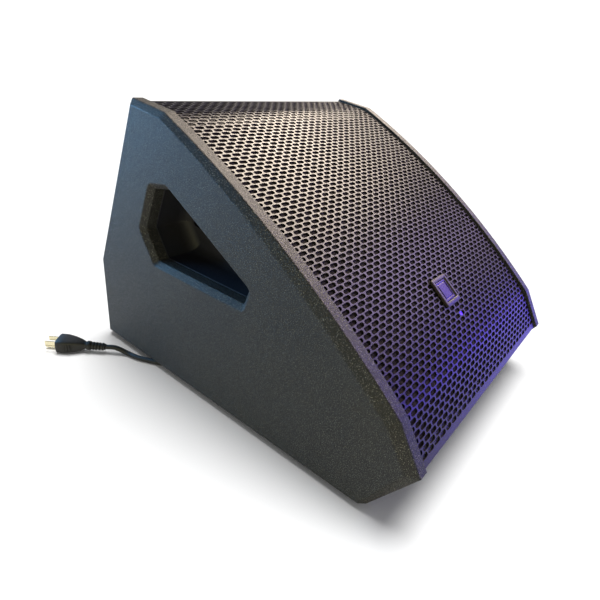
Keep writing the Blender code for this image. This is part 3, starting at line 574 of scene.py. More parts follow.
def make_grille(look):
    """The perforated sheet: a ring of faces round every slot, its walls and the same on the back."""
    low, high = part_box("grille")
    path = grille_path()
    half = (high.x - low.x) / 2
    pitch = 2 * (half - SIDE_MARGIN) / SLOT_COLUMNS
    light = sum(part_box("power_led"), Vector()) / 2
    light_at = path.nearest((light.y, light.z))
    usable = light_at - TOP_MARGIN
    start = TOP_MARGIN + (usable - ROW / 2) % ROW
    rows = int((path.length - LIP_MARGIN - start) / ROW)
    light_row = round((light_at - start) / ROW - 0.5)
    verts, faces, known = [], [], {}

    def vertex(x, v, depth):
        key = (round(x * 1e6), round(v * 1e6), depth)
        if key not in known:
            place, normal = path.at(v)
            place = place - normal * (SHEET if depth else 0.0)
            known[key] = len(verts)
            verts.append((x, place.x, place.y))
        return known[key]

    def face(corners, depth):
        corners = [vertex(x, v, depth) for x, v in corners]
        faces.append(corners[::-1] if depth else corners)

    def strip(x0, x1, v0, v1):
        for depth in (0, 1):
            face([(x0, v0), (x0, v1), (x1, v1), (x1, v0)], depth)

    def cell(x0, x1, v0, v1):
        """One slot with the metal round it. v grows down the sheet."""
        middle, across = (x0 + x1) / 2, (v0 + v1) / 2
        if x1 - x0 > pitch * 0.6:
            quarter = (x1 - x0) / 4
            outer = [(middle, v0), (x1 - quarter, v0), (x1, v0), (x1, across), (x1, v1), (x1 - quarter, v1),
                     (middle, v1), (x0 + quarter, v1), (x0, v1), (x0, across), (x0, v0), (x0 + quarter, v0)]
            ring = [(x, 2 * across - v) for x, v in slot_ring((middle, across), *SLOT)]
        else:
            outer = [(middle, v0), (x1, v0), (x1, across), (x1, v1),
                     (middle, v1), (x0, v1), (x0, across), (x0, v0)]
            radius = SLOT[1] / 2
            angles = [math.pi / 4 * i for i in range(8)]
            ring = [(middle + radius * math.sin(a), across - radius * math.cos(a)) for a in angles]
        for i in range(len(outer)):
            k = (i + 1) % len(outer)
            for depth in (0, 1):
                face([outer[i], ring[i], ring[k], outer[k]], depth)
            wall = ((i, 0), (i, 1), (k, 1), (k, 0))
            faces.append([vertex(*ring[index], depth) for index, depth in wall])

    left, right = -half + SIDE_MARGIN, half - SIDE_MARGIN
    for row in range(rows):
        v0 = start + row * ROW
        v1 = v0 + ROW
        marks = [left + pitch * i for i in range(SLOT_COLUMNS + 1)]
        if (row - light_row) % 2:
            marks = [left] + [left + pitch * (i + 0.5) for i in range(SLOT_COLUMNS)] + [right]
        for x0, x1 in zip(marks, marks[1:]):
            cell(x0, x1, v0, v1)
        for a, b in ((v0, v0 + ROW / 2), (v0 + ROW / 2, v1)):
            strip(-half, left, a, b)
            strip(right, half, a, b)
    columns = [-half] + [left + pitch * i / 4 for i in range(SLOT_COLUMNS * 4 + 1)] + [half]
    for v0, v1 in ([0.0, start], [start + rows * ROW, path.length]):
        count = max(1, round((v1 - v0) / 0.0035))
        for i in range(count):
            a, b = v0 + (v1 - v0) * i / count, v0 + (v1 - v0) * (i + 1) / count
            for x0, x1 in zip(columns, columns[1:]):
                strip(x0, x1, a, b)
    edges = {}
    for corners in faces:
        for pair in zip(corners, corners[1:] + corners[:1]):
            edges[pair] = True
    back = {index: key for key, index in known.items()}
    for a, b in list(edges):
        if (b, a) in edges or back[a][2] or back[b][2]:
            continue
        faces.append([b, a, known[(*back[a][:2], 1)], known[(*back[b][:2], 1)]])
    mesh = bpy.data.meshes.new("grille_sheet")
    mesh.from_pydata(verts, [], faces)
    mesh.validate()
    mesh.shade_smooth()
    mesh.set_sharp_from_angle(angle=math.radians(35))
    item = bpy.data.objects.new("grille_sheet", mesh)
    finished(item, "grille_perforated", look, replaces=["grille"])
    return path


# ---- badge ----

def surface_frame(path, node):
    """A matrix on the grille's face under a node: x across, y up the slope, z outwards."""
    centre = sum(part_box(node), Vector()) / 2
    place, normal = path.at(path.nearest((centre.y, centre.z)))
    out = Vector((0, normal.x, normal.y))
    up = out.cross(Vector((1, 0, 0)))
    return placed((centre.x, place.x, place.y), (1, 0, 0), up, out)


def make_badge(path, rim_look, plate_look):
    """A plain square badge: a raised frame with sloped walls round a sunken plate with a groove."""
    place = surface_frame(path, "badge_frame")
    outer, inner = BADGE_HALF, BADGE_WINDOW
    levels = [(outer, 0.0005), (outer, 0.0026), (outer - 0.0006, 0.0034), (outer - 0.0020, 0.0038),
              (inner + 0.0012, 0.0036), (inner + 0.0004, 0.0030), (inner, 0.0022), (inner, 0.0005)]
    verts, steps = [], 8
    for half, z in levels:
        soft = 0.0030 if half > 0.015 else 0.0012
        middle = Vector((half - soft, half - soft))
        for quadrant in range(4):
            base = Matrix.Rotation(math.pi / 2 * quadrant, 2) @ middle
            for i in range(steps):
                angle = math.pi / 2 * (quadrant + i / (steps - 1))
                round_corner = Vector((soft * math.cos(angle), soft * math.sin(angle)))
                verts.append(place @ Vector((*(base + round_corner), z)))
    rim = mesh_item(verts, tube_faces(len(levels), 4 * steps, True), 28)
    finished(rim, "badge_rim", rim_look, replaces=["badge_frame"])
    shape = bmesh.new()
    bmesh.ops.create_grid(shape, x_segments=24, y_segments=24, size=0.5)
    side = inner - 0.0002
    bmesh.ops.scale(shape, verts=shape.verts, vec=(2 * side, 2 * side, 1))
    for vert in shape.verts:
        reach = max(abs(vert.co.x), abs(vert.co.y)) / side
        vert.co.z = 0.0012 if 0.70 <= reach < 0.82 else 0.0019
    plate = from_bmesh(shape, place, 25)
    solid = plate.modifiers.new("thickness", "SOLIDIFY")
    solid.thickness = 0.0012
    solid.offset = -1
    finished(plate, "badge_square_plate", plate_look, replaces=["badge_plate"])


# ---- driver ----

def driver_matrix():
    cone = joint("cone_travel")
    out = Vector(cone["axis"]).normalized()
    up = out.cross(Vector((1, 0, 0)))
    low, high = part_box("woofer_gasket")
    centre = (low + high) / 2 - out * 0.0069
    return placed((0, centre.y, centre.z), (1, 0, 0), up, out)


def make_surround(look):
    """The half roll between the basket and the cone."""
    place = driver_matrix()

    def roll(radius):
        angles = [math.pi * i / 10 for i in range(11)]
        return [(0.1295 + radius * math.cos(a), 0.006 + radius * math.sin(a)) for a in angles]
    profile = ([(0.142, 0.0048), (0.142, 0.006)] + roll(0.0075) + [(0.122, 0.002), (0.122, -0.001),
               (0.1232, -0.001), (0.1232, 0.002)] + roll(0.0063)[::-1] + [(0.1358, 0.0048)])
    item = lathe(profile, 96, place, smooth_angle=50)
    finished(item, "surround_roll", look, None, ["woofer_surround"])
    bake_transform(item)


def make_spider(look):
    """The corrugated ring that centres the voice coil."""
    place = driver_matrix()
    steps = 64
    low = []
    for i in range(steps + 1):
        t = i / steps
        low.append((0.080 - 0.0385 * t, -0.0727 + 0.010 * t + 0.0012 * math.cos(math.tau * 4 * t)))
    top = [(radius, z + 0.0008) for radius, z in low]
    item = lathe(top + low[::-1], 72, place, smooth_angle=60)
    finished(item, "spider_ring", look, None, ["woofer_spider"])
    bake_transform(item)


# ---- amplifier panel ----

def rear_matrix():
    """The panel's outer face: x to the right from behind, y up the slope, z outwards."""
    first = joint("level_1_turn")
    out = Vector(first["axis"]).normalized()
    right = Vector((-1, 0, 0))
    up = out.cross(right)
    low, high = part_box("amp_panel")
    centre = (low + high) / 2
    knob = Vector(first["pos_m"])
    centre = centre + out * (knob - centre).dot(out)
    return placed((0, centre.y, centre.z), right, up, out)


def on_panel(rear, node):
    """The (x, y) of a node's middle in the panel's frame."""
    local = rear.inverted()
    places = [local @ v.co for v in frame["nodes"][node].data.vertices]
    xs, ys = [p.x for p in places], [p.y for p in places]
    return (min(xs) + max(xs)) / 2, (min(ys) + max(ys)) / 2


def shift(x, y, z=0.0):
    return Matrix.Translation((x, y, z))


def make_knob(rear, node, radius, looks):
    """A fluted knob with a skirt. A level knob also has a raised pointer line and dial marks."""
    x, y = on_panel(rear, node)
    is_level = node != "encoder_knob"
    low, high = (0.0008, 0.0113) if is_level else (0.0012, 0.0122)
    stem, end = (0.0030, -0.0130) if is_level else (0.0033, 0.0063)
    profile = [(0, high), (radius * 0.62, high), (radius * 0.78, high - 0.0003),
               (radius * 0.84, high - 0.0011), (radius * 0.90, low + 0.0034), (radius * 0.92, low + 0.0026),
               (radius, low + 0.0020), (radius, low + 0.0003), (radius * 0.97, low), (stem, low),
               (stem, end), (0, end)]

    def flute(angle, r, z):
        if r > radius * 0.8 and low + 0.0028 < z < high - 0.0002:
            return r * (1 - 0.055 * max(0.0, math.cos(20 * angle)))
        return r
    item = lathe(profile, 120, rear @ shift(x, y), flute, 30)
    finished(item, f"{node}_fluted", looks["plastic"], node, [node])
    if is_level:
        place = rear @ shift(x, y + radius * 0.52, high + 0.0001)
        line = soft_box((0.0009, radius * 0.78, 0.0005), place, 0.0002, 2)
        finished(line, f"{node}_pointer", looks["print"], node)
        dial_marks(rear, node, radius, looks["print"])


def dial_marks(rear, node, radius, look):
    """Short printed strokes round a knob, each a thin raised bar."""
    x, y = on_panel(rear, node)
    bars = []
    for i in range(11):
        angle = math.radians(-150 + 30 * i)
        long = 0.0026 if i in (0, 5, 10) else 0.0016
        turn = rear @ shift(x, y, 0.00012) @ Matrix.Rotation(-angle, 4, "Z")
        spot = turn @ shift(0, radius + 0.0016 + long / 2)
        bars.append(soft_box((0.0005, long, 0.00018), spot, 0.00005, 1))
    finished(joined(bars), f"{node}_dial_marks", look)


def screws_at(rear, places, radius, height, z=0.0, turn=0.0):
    """Screw heads at these places on the panel, each turned a little further, as one mesh."""
    screws = []
    for i, (x, y) in enumerate(places):
        screws.append(pan_screw(radius, height, rear @ shift(x, y, z) @ Matrix.Rotation(turn * i, 4, "Z")))
    return joined(screws)


def three_round(rear, node, radius, first_angle, z, profile, sides):
    """Three turned pieces evenly round a jack's middle, as one mesh."""
    x, y = on_panel(rear, node)
    items = []
    for i in range(3):
        angle = math.radians(first_angle + 120 * i)
        spot = rear @ shift(x + radius * math.cos(angle), y + radius * math.sin(angle), z)
        items.append(lathe(profile, sides, spot))
    return joined(items)


def make_panel_details(rear, looks):
    """Screws, dial marks, knobs, contacts and marks of the amplifier panel."""
    across, up = 0.1435, 0.0815
    places = [(x, y) for y in (-up, up) for x in (-across, 0, across)] + [(-across, 0), (across, 0)]
    screws = screws_at(rear, places, 0.0040, 0.0022, turn=0.4)
    finished(screws, "amp_panel_screws", looks["dark_screw"])
    for node, radius in (("level_knob_1", 0.0085), ("level_knob_2", 0.0085), ("encoder_knob", 0.0115)):
        make_knob(rear, node, radius, looks)
    for number in (1, 2):
        make_jack_details(rear, f"combo_jack_{number}", looks)
    profile = [(0, -0.0020), (0.0006, -0.0020), (0.0011, -0.0028), (0.0011, -0.0158), (0, -0.0158)]
    pins = three_round(rear, "link_jack", 0.0052, -90, 0.0, profile, 16)
    finished(pins, "link_jack_pins", looks["brass"])
    make_rocker(rear, looks["print"])
    inlet_x, inlet_y = on_panel(rear, "mains_inlet")
    for side, name in ((-1, "left"), (1, "right")):
        screw = pan_screw(0.0027, 0.0012, rear @ shift(inlet_x + side * 0.0208, inlet_y, 0.0025))
        finished(screw, f"inlet_screw_{name}", looks["dark_screw"])


def make_jack_details(rear, node, looks):
    """The insert of a combination jack with its three receptacles and centre hole, and two screws."""
    x, y = on_panel(rear, node)
    profile = [(0, -0.0150), (0.0034, -0.0150), (0.0034, -0.0105), (0.0090, -0.0105), (0.0090, -0.0175),
               (0, -0.0175)]
    disc = lathe(profile, 40, rear @ shift(x, y))
    finished(disc, f"{node}_insert", looks["plastic"])
    profile = [(0.0007, 0.0), (0.0007, 0.0007), (0.0013, 0.0007), (0.0013, 0.0)]
    contacts = three_round(rear, node, 0.0062, 90, -0.0104, profile, 20)
    finished(contacts, f"{node}_contacts", looks["brass"])
    places = [(x - 0.0095, y + 0.0118), (x + 0.0095, y - 0.0118)]
    screws = screws_at(rear, places, 0.0022, 0.0011, 0.0025)
    finished(screws, f"{node}_screws", looks["dark_screw"])


def make_rocker(rear, look):
    """The rocker's two plain marks, a stroke and a ring, riding on it."""
    pivot = joint("power_rock")
    across = Vector(pivot["axis"]).normalized()
    out = rear.col[2].to_3d()
    low = placed(pivot["pos_m"], across.cross(out), across, out) @ Matrix.Rotation(math.radians(10), 4, "Y")
    slope = math.atan2(0.0012, 0.0085)
    spot = low @ shift(0.0052, 0, 0.0034) @ Matrix.Rotation(-slope, 4, "Y")
    stroke = soft_box((0.0003, 0.0032, 0.0002), spot, 0.00005, 1)
    finished(stroke, "rocker_stroke_mark", look, "power_rocker")
    spot = low @ shift(-0.0052, 0, 0.0033) @ Matrix.Rotation(slope, 4, "Y")
    ring = lathe([(0.0012, 0.0), (0.0012, 0.00015), (0.0016, 0.00015), (0.0016, 0.0)], 32, spot)
    finished(ring, "rocker_ring_mark", look, "power_rocker")


# ---- mains lead ----

def through(points, spacing):
    """A smooth curve through the points, as points this far apart."""
    ends = [points[0] * 2 - points[1]] + points + [points[-1] * 2 - points[-2]]
    fine = []
    for a, b, c, d in zip(ends, ends[1:], ends[2:], ends[3:]):
        for i in range(24):
            t = i / 24
            fine.append(0.5 * (2 * b + (c - a) * t + (2 * a - 5 * b + 4 * c - d) * t * t
                               + (3 * b - a - 3 * c + d) * t ** 3))
    fine.append(points[-1])
    length = sum((b - a).length for a, b in zip(fine, fine[1:]))
    count = max(2, round(length / spacing))
    result, travelled, wanted = [fine[0]], 0.0, length / count
    for a, b in zip(fine, fine[1:]):
        step = (b - a).length
        while travelled + step >= wanted * len(result) - 1e-9 and len(result) < count:
            result.append(a.lerp(b, (wanted * len(result) - travelled) / step))
        travelled += step
    return result + [fine[-1]], length


def eased(value, start, finish):
    """0 before start, 1 after finish, smooth between."""
    t = min(max((value - start) / (finish - start), 0.0), 1.0)
    return t * t * (3 - 2 * t)


def coil_points():
    """The coil's turns, two side by side and three high, from its +Y side round to its -X side."""
    floor = LEAD_RADIUS + FLOOR_GAP
    result = []
    total = COIL_TURNS + 0.25
    steps = round(total * COIL_STEPS)
    for i in range(steps + 1):
        turn = total * i / steps
        radius = BESIDE_COIL + (OUTER_TURN - BESIDE_COIL) * eased(turn, 0.0, 0.20)
        radius += (INNER_TURN - OUTER_TURN) * eased(turn, 0.80, 0.96)
        radius += (OUTER_TURN - INNER_TURN) * eased(turn, 2.52, 2.68)
        radius += (BESIDE_COIL - OUTER_TURN) * eased(turn, 4.86, 5.06)
        height = floor + LAYER * (eased(turn, 1.68, 1.84) + eased(turn, 3.38, 3.54))
        height += (floor - height) * eased(turn, 4.98, total)
        angle = math.tau * (0.25 + turn)
        result.append(Vector((COIL_PLACE[0] + radius * math.cos(angle),
                              COIL_PLACE[1] + radius * math.sin(angle), height)))
    return result


def make_lead(look, brass, tie_look):
    """The lead with its connector, plug and tie."""
    pieces = [make_connector(look), make_plug(look), make_tie(tie_look)]
    neck = Vector(PLUG_NECK)
    heading = Vector(PLUG_HEADING).normalized()
    route = [Vector(LEAD_EXIT)] + [Vector(p) for p in DROP_POINTS]
    route += coil_points() + [Vector(p) for p in RUN_POINTS]
    route += [neck - heading * 0.0146, neck - heading * 0.0006]
    points, length = through(route, 0.004)
    curve = bpy.data.curves.new("mains_lead", "CURVE")
    curve.dimensions = "3D"
    curve.bevel_depth = LEAD_RADIUS
    curve.bevel_resolution = 3
    curve.use_fill_caps = True
    spline = curve.splines.new("POLY")
    spline.points.add(len(points) - 1)
    for point, co in zip(spline.points, points):
        point.co = (*co, 1)
    spline.use_smooth = True
    lead = bpy.data.objects.new("mains_lead", curve)
    finished(lead, "mains_lead", look,
             replaces=["mains_lead_rear", "mains_lead_coil", "mains_lead_run"])
    for node in ("plug_blade_line", "plug_blade_neutral", "plug_earth_pin"):
        assign(node, brass)
        pieces.append(frame["nodes"][node])


def relief_profile(length, thick, thin, ribs=5):
    """(radius, z) points of a ribbed strain relief from its thin tip at z = 0 to its root."""
    profile = [(0, 0), (thin, 0)]
    step = length * 0.80 / ribs
    for i in range(ribs):
        start = length * 0.08 + i * step
        base = thin + (thick - thin) * start / length
        profile += [(base, start), (base + 0.0009, start + step * 0.12),
                    (base + 0.0010, start + step * 0.50), (base - 0.0004, start + step * 0.62),
                    (base - 0.0004, start + step * 0.92)]
    return profile + [(thick, length), (thick, length + 0.006), (0, length + 0.006)]


def make_plug(look):
    """The plug's flattened body with grips on both sides, a collar and a ribbed strain relief."""
    ahead = Vector(PLUG_HEADING).normalized()
    up = Vector((0, 0, 1))
    place = placed(PLUG_NECK, up.cross(ahead), up, ahead)
    width, height, length = PLUG_SIZE
    relief = lathe(relief_profile(RELIEF_LENGTH, 0.0052, 0.0045), 40, place)
    collar = lathe([(0, 0.0205), (0.0060, 0.0205), (0.0066, 0.0212), (0.0066, 0.0248), (0.0058, 0.0258),
                    (0, 0.0258)], 40, place)
    outline = [(0.0, 0.34, 0.40), (0.06, 0.42, 0.50), (0.18, 0.58, 0.66), (0.34, 0.74, 0.80),
               (0.52, 0.88, 0.92), (0.72, 1.0, 1.0), (0.97, 1.0, 1.0), (1.0, 0.94, 0.92)]
    sides, verts = 32, []
    for along, wide, tall in outline:
        for i in range(sides):
            c, s = math.cos(math.tau * i / sides), math.sin(math.tau * i / sides)
            x = math.copysign(abs(c) ** 0.45, c) * width / 2 * wide
            y = math.copysign(abs(s) ** 0.45, s) * height / 2 * tall
            verts.append(place @ Vector((x, y, RELIEF_LENGTH + length * along)))
    size = (len(outline), sides)
    pieces = [relief, collar, mesh_item(verts, tube_faces(*size) + end_faces(*size), 42)]
    for side in (-1, 1):
        for i in range(4):
            spot = place @ shift(side * width * 0.478, 0, RELIEF_LENGTH + length * (0.48 + 0.1 * i))
            pieces.append(soft_box((0.0012, height * 0.52, 0.0016), spot, 0.0004, 2))
    return finished(joined(pieces), "mains_plug_moulding", look, replaces=["mains_plug"])


def make_connector(look):
    """The lead's connector in the inlet: a rounded body with a grip and a ribbed strain relief."""
    rear = rear_matrix()
    x, y = on_panel(rear, "mains_inlet")
    body = soft_box((0.0240, 0.0160, 0.050), rear @ shift(x, y, 0.0125), 0.0032, 4)
    grip = soft_box((0.0262, 0.0182, 0.018), rear @ shift(x, y, 0.0270), 0.0034, 4)
    turned = rear @ shift(x, y, 0.0640) @ Matrix.Rotation(math.pi, 4, "X")
    relief = lathe(relief_profile(RELIEF_LENGTH, 0.0066, 0.0045), 40, turned)
    return finished(joined([body, grip, relief]), "mains_connector_moulding", look,
                    replaces=["mains_connector"])


def make_tie(look):
    """A hook-and-loop band round the coil's turns."""
    angle = math.radians(318)
    out = Vector((math.cos(angle), math.sin(angle), 0))
    along = Vector((-out.y, out.x, 0))
    middle = Vector((*COIL_PLACE, 0.0112)) + out * COIL_RADIUS
    half_wide, half_high, corner, thick = 0.0082, 0.0109, 0.0034, 0.0009
    verts = []
    for grow, offset in ((0.0, -0.006), (0.0, 0.006), (thick, 0.006), (thick, -0.006)):
        for quadrant, (sx, sz) in enumerate(((1, 1), (-1, 1), (-1, -1), (1, -1))):
            for i in range(7):
                a = math.pi / 2 * (quadrant + i / 6)
                spot = middle + along * offset
                spot += out * (sx * (half_wide - corner) + (corner + grow) * math.cos(a))
                spot.z += sz * (half_high - corner) + (corner + grow) * math.sin(a)
                spot.z = max(spot.z, 0.0002)
                verts.append(spot)
    return finished(mesh_item(verts, tube_faces(4, 28, True), 40), "lead_tie", look)


# ---- materials ----

def noise(tree, scale, detail=3.0, roughness=0.55):
    place = tree.nodes.get("Texture Coordinate") or tree.nodes.new("ShaderNodeTexCoord")
    texture = tree.nodes.new("ShaderNodeTexNoise")
    texture.inputs["Scale"].default_value = scale
    texture.inputs["Detail"].default_value = detail
    texture.inputs["Roughness"].default_value = roughness
    tree.links.new(place.outputs["Object"], texture.inputs["Vector"])
    return texture.outputs["Fac"]


def ramp(tree, source, dark, light):
    """The source through a colour ramp from dark at 0.30 to light at 0.70."""
    node = tree.nodes.new("ShaderNodeValToRGB")
    for element, place, colour in zip(node.color_ramp.elements, (0.30, 0.70), (dark, light)):
        element.position = place
        element.color = (*colour, 1.0)
    tree.links.new(source, node.inputs["Fac"])
    return node.outputs["Color"]


def mixed(tree, factor, first, second):
    """The first colour socket mixed with a second, constant colour by a factor socket."""
    node = tree.nodes.new("ShaderNodeMix")
    node.data_type = "RGBA"
    a, b = (s for s in node.inputs if s.type == "RGBA")
    tree.links.new(factor, node.inputs[0])
    tree.links.new(first, a)
    b.default_value = (*second, 1.0)
    return next(s for s in node.outputs if s.type == "RGBA")


def mapped(tree, source, low, high, to_low, to_high):
    node = tree.nodes.new("ShaderNodeMapRange")
    for name, value in (("From Min", low), ("From Max", high), ("To Min", to_low), ("To Max", to_high)):
        node.inputs[name].default_value = value
    tree.links.new(source, node.inputs["Value"])
    return node.outputs["Result"]


def surface(name, colours, roughness, grain, bump, metallic=0.0, specks=None,
            patches=None, specular=0.5):
    """A procedural material.

    colours are the dark and the light of its fine grain, roughness its lowest and highest, grain the
    noise's scale, bump the height of its relief, specks (scale, threshold, colour) its light flecks,
    which are painted glints mixed into the base colour, and patches (scale, colour, strength) its large
    stains.
    """
    material = bpy.data.materials.new(name)
    material.use_nodes = True
    tree = material.node_tree
    shader = tree.nodes["Principled BSDF"]
    shader.inputs["Metallic"].default_value = metallic
    shader.inputs["Specular IOR Level"].default_value = specular
    fine = noise(tree, grain)
    colour = ramp(tree, fine, *colours)
    if patches:
        scale, tint, strength = patches
        cloud = mapped(tree, noise(tree, scale, 4.0), 0.42, 0.68, 0.0, strength)
        colour = mixed(tree, cloud, colour, tint)
    # The specks are painted glints: light flecks mixed into the base colour in place of highlights.
    if specks:
        scale, threshold, tint = specks
        glint_mask = mapped(tree, noise(tree, scale, 1.0), threshold, threshold + 0.05, 0.0, 1.0)
        colour = mixed(tree, glint_mask, colour, tint)
    tree.links.new(colour, shader.inputs["Base Color"])
    rough = mapped(tree, noise(tree, grain * 0.45, 2.0), 0.3, 0.7, *roughness)
    tree.links.new(rough, shader.inputs["Roughness"])
    relief = tree.nodes.new("ShaderNodeBump")
    relief.inputs["Distance"].default_value = bump
    relief.inputs["Strength"].default_value = 1.0
    tree.links.new(fine, relief.inputs["Height"])
    tree.links.new(relief.outputs["Normal"], shader.inputs["Normal"])
    return material


def glowing(name, colour, strength):
    material = surface(name, (colour, colour), (0.15, 0.3), 900.0, 0.00002)
    shader = material.node_tree.nodes["Principled BSDF"]
    shader.inputs["Emission Color"].default_value = (*colour, 1.0)
    shader.inputs["Emission Strength"].default_value = strength
    return material


def assign(node, look):
    item = frame["nodes"][node]
    item.data.materials.clear()
    item.data.materials.append(look)


def make_looks():
    # The coat's warm light specks are painted glints, highlights put into its base colour.
    black_coating = surface(
        "coating_look", ((0.004, 0.004, 0.0042), (0.015, 0.0152, 0.0155)), (0.38, 0.54), 1150.0, 0.0008,
        specks=(1150.0, 0.63, (0.14, 0.135, 0.115)), patches=(11.0, (0.015, 0.014, 0.011), 0.45),
        specular=0.20)
    # The paint's light specks are painted glints, highlights put into its base colour.
    grille_paint = surface(
        "grille_paint_look", ((0.007, 0.006, 0.007), (0.016, 0.014, 0.016)), (0.30, 0.42), 1500.0, 0.00012,
        specks=(1900.0, 0.68, (0.07, 0.06, 0.06)), specular=0.17)
    plastic = surface(
        "plastic_look", ((0.004, 0.005, 0.009), (0.009, 0.010, 0.016)), (0.48, 0.62), 1300.0, 0.00010,
        patches=(14.0, (0.014, 0.011, 0.010), 0.4), specular=0.25)
    looks = {"coating": black_coating, "steel": grille_paint, "plastic": plastic,
             "lens": glowing("blue_lens_look", (0.05, 0.01, 1.0), 2.2)}
    # Each row: name, dark and light grain, roughness range, grain, bump, metallic, specular
    plain = [
        ("panel_paint", (0.018, 0.018, 0.020), (0.034, 0.034, 0.037), (0.45, 0.60), 1500, 0.00015, 0, 0.5),
        ("dark_screw", (0.05, 0.05, 0.055), (0.10, 0.10, 0.11), (0.30, 0.45), 900, 0.00005, 0.9, 0.5),
        ("zinc", (0.42, 0.43, 0.45), (0.62, 0.63, 0.65), (0.25, 0.42), 700, 0.00005, 1, 0.5),
        ("rubber", (0.006, 0.006, 0.0065), (0.014, 0.014, 0.0145), (0.5, 0.7), 1100, 0.00012, 0, 0.3),
        ("foam", (0.002, 0.002, 0.002), (0.022, 0.018, 0.016), (0.9, 1.0), 520, 0.0020, 0, 0.1),
        ("paper", (0.010, 0.010, 0.011), (0.026, 0.026, 0.028), (0.8, 0.95), 420, 0.0006, 0, 0.5),
        ("cloth", (0.030, 0.022, 0.014), (0.065, 0.048, 0.030), (0.8, 0.95), 800, 0.0004, 0, 0.5),
        ("ferrite", (0.035, 0.035, 0.038), (0.07, 0.07, 0.075), (0.5, 0.7), 500, 0.0003, 0.2, 0.5),
        ("aluminium", (0.20, 0.21, 0.22), (0.30, 0.31, 0.32), (0.38, 0.55), 600, 0.0002, 1, 0.5),
        ("copper", (0.60, 0.28, 0.13), (0.78, 0.40, 0.20), (0.25, 0.4), 900, 0.0001, 1, 0.5),
        ("circuit", (0.010, 0.08, 0.03), (0.02, 0.13, 0.05), (0.3, 0.5), 300, 0.0001, 0, 0.5),
        ("brass", (0.68, 0.60, 0.38), (0.80, 0.74, 0.52), (0.18, 0.30), 900, 0.00003, 1, 0.5),
        ("print", (0.55, 0.55, 0.55), (0.70, 0.70, 0.70), (0.5, 0.6), 1500, 0.00002, 0, 0.5),
        ("badge_rim", (0.010, 0.008, 0.008), (0.024, 0.018, 0.016), (0.34, 0.46), 1600, 0.00004, 0, 0.25),
        ("badge_plate", (0.016, 0.012, 0.035), (0.034, 0.026, 0.070), (0.34, 0.46), 1500, 0.00004, 1, 0.5),
    ]
    for name, dark, light, roughness, grain, bump, metallic, specular in plain:
        looks[name] = surface(f"{name}_look", (dark, light), roughness, grain, bump, metallic,
                              specular=specular)
    return looks


def dress_nodes(looks):
    """Gives every CAD node that stays its material."""
    by_slot = {"textured_coating": "coating", "black_steel": "panel_paint", "zinc_steel": "zinc",
               "black_plastic": "plastic", "black_rubber": "rubber", "acoustic_foam": "foam",
               "coated_paper": "paper", "treated_cloth": "cloth", "ferrite": "ferrite",
               "cast_aluminium": "aluminium", "copper_winding": "copper", "circuit_board": "circuit",
               "plated_brass": "brass", "blue_lens": "lens", "badge_metal": "badge_plate"}
    for part in frame["record"]["subparts"]:
        assign(part["node"], looks[by_slot[part["material_slot"]]])


# ---- floor and light ----

def make_floor():
    """A pale floor that rises gently far away all round. Its rise ends 44 m away."""
    profile = [(3.0, -0.0002), (6.0, -0.0002), (8.0, 0.15), (44.0, 6.2)]
    verts, sides = [], 64
    for radius, z in profile:
        for i in range(sides):
            angle = math.tau * i / sides
            verts.append((radius * math.cos(angle), radius * math.sin(angle), z))
    faces = [tuple(range(sides))] + tube_faces(len(profile), sides)
    floor = mesh_item(verts, faces, 60)
    floor.name = "studio_floor"
    material = bpy.data.materials.new("floor_look")
    material.use_nodes = True
    shader = material.node_tree.nodes["Principled BSDF"]
    shader.inputs["Base Color"].default_value = (0.92, 0.92, 0.92, 1)
    shader.inputs["Roughness"].default_value = 0.9
    shader.inputs["Specular IOR Level"].default_value = 0.1
    floor.data.materials.append(material)
    linked(floor)


def aimed(name, light, place, way):
    """A lamp in the scene at the place, shining along the way."""
    lamp = bpy.data.objects.new(name, light)
    turn = Vector(way).to_track_quat("-Z", "Y").to_matrix().to_4x4()
    lamp.matrix_world = Matrix.Translation(place) @ turn
    return linked(lamp)


def area_light(name, place, target, size, power, colour):
    light = bpy.data.lights.new(name, "AREA")
    light.shape = "RECTANGLE"
    light.size, light.size_y = size
    light.energy = power
    light.color = colour
    return aimed(name, light, place, Vector(target) - Vector(place))


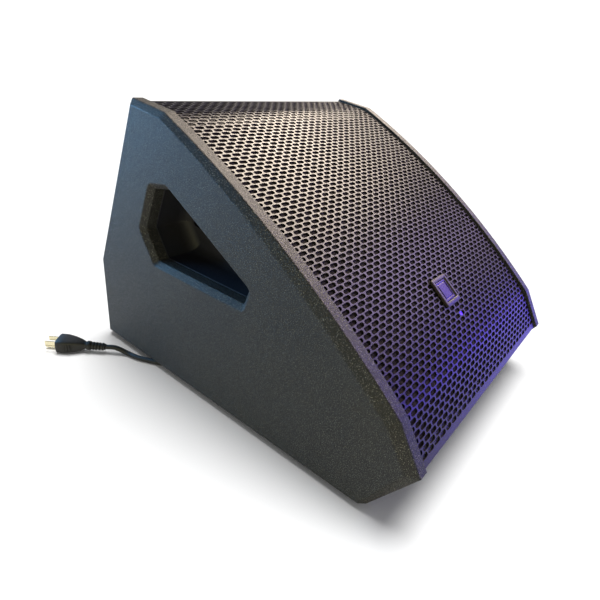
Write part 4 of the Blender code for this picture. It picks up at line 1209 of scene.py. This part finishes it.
def make_light():
    """Coloured lamps that light only the object, and a soft white one that lights only the floor."""
    world = bpy.data.worlds.new("studio")
    bpy.context.scene.world = world
    world.use_nodes = True
    background = world.node_tree.nodes["Background"]
    background.inputs["Color"].default_value = (1.0, 1.0, 1.0, 1)
    background.inputs["Strength"].default_value = 0.32
    bpy.context.scene.view_settings.view_transform = "Standard"
    wedge = bpy.data.collections.new("lit_by_coloured_lamps")
    ground = bpy.data.collections.new("lit_by_floor_lamp")
    for item in bpy.data.objects:
        if item.type in {"MESH", "CURVE"}:
            (ground if item.name == "studio_floor" else wedge).objects.link(item)
    # Each row: name, place, target, size, power, colour
    lamps = [
        ("warm_key", (0.84, 0.16, 1.20), (0.0, 0.0, 0.27), (0.95, 0.7), 66, (1.0, 0.85, 0.69)),
        ("lavender_side", (1.00, -0.60, 0.95), (0, -0.1, 0.2), (0.6, 0.6), 15, (0.66, 0.50, 1.0)),
        ("cool_left", (-0.75, 1.35, 0.62), (-0.213, 0.12, 0.22), (0.7, 1.0), 38, (0.20, 0.55, 1.0)),
        ("violet_right", (1.05, -1.05, 0.22), (0.05, -0.2, 0.15), (1.0, 0.7), 26, (0.07, 0.02, 1.0)),
        ("olive_low", (-1.1, -0.5, 0.25), (-0.213, -0.05, 0.06), (0.4, 0.3), 5.0, (1.0, 0.90, 0.34)),
    ]
    for lamp in lamps:
        area_light(*lamp).light_linking.receiver_collection = wedge
    overhead = bpy.data.lights.new("overhead", "SUN")
    overhead.energy = 3.2
    overhead.angle = math.radians(34)
    lamp = aimed("overhead", overhead, (1, 1, 3), (-0.15, -0.02, -1))
    lamp.light_linking.receiver_collection = ground


make_camera()
LOOKS = make_looks()
dress_nodes(LOOKS)
make_lead(LOOKS["rubber"], LOOKS["brass"], LOOKS["cloth"])
make_cheek("left_side_panel", -1, LOOKS["coating"])
make_cheek("right_side_panel", 1, LOOKS["coating"])
make_cup("left_handle_cup", -1, LOOKS["plastic"])
make_cup("right_handle_cup", 1, LOOKS["plastic"])
for foot_name in ("foot_front_left", "foot_front_right", "foot_rear_left", "foot_rear_right"):
    make_foot(foot_name, LOOKS["rubber"], LOOKS["zinc"])
GRILLE_PATH = make_grille(LOOKS["steel"])
make_badge(GRILLE_PATH, LOOKS["badge_rim"], LOOKS["badge_plate"])
make_surround(LOOKS["cloth"])
make_spider(LOOKS["cloth"])
make_panel_details(rear_matrix(), LOOKS)
make_floor()
make_light()
bpy.context.view_layer.update()
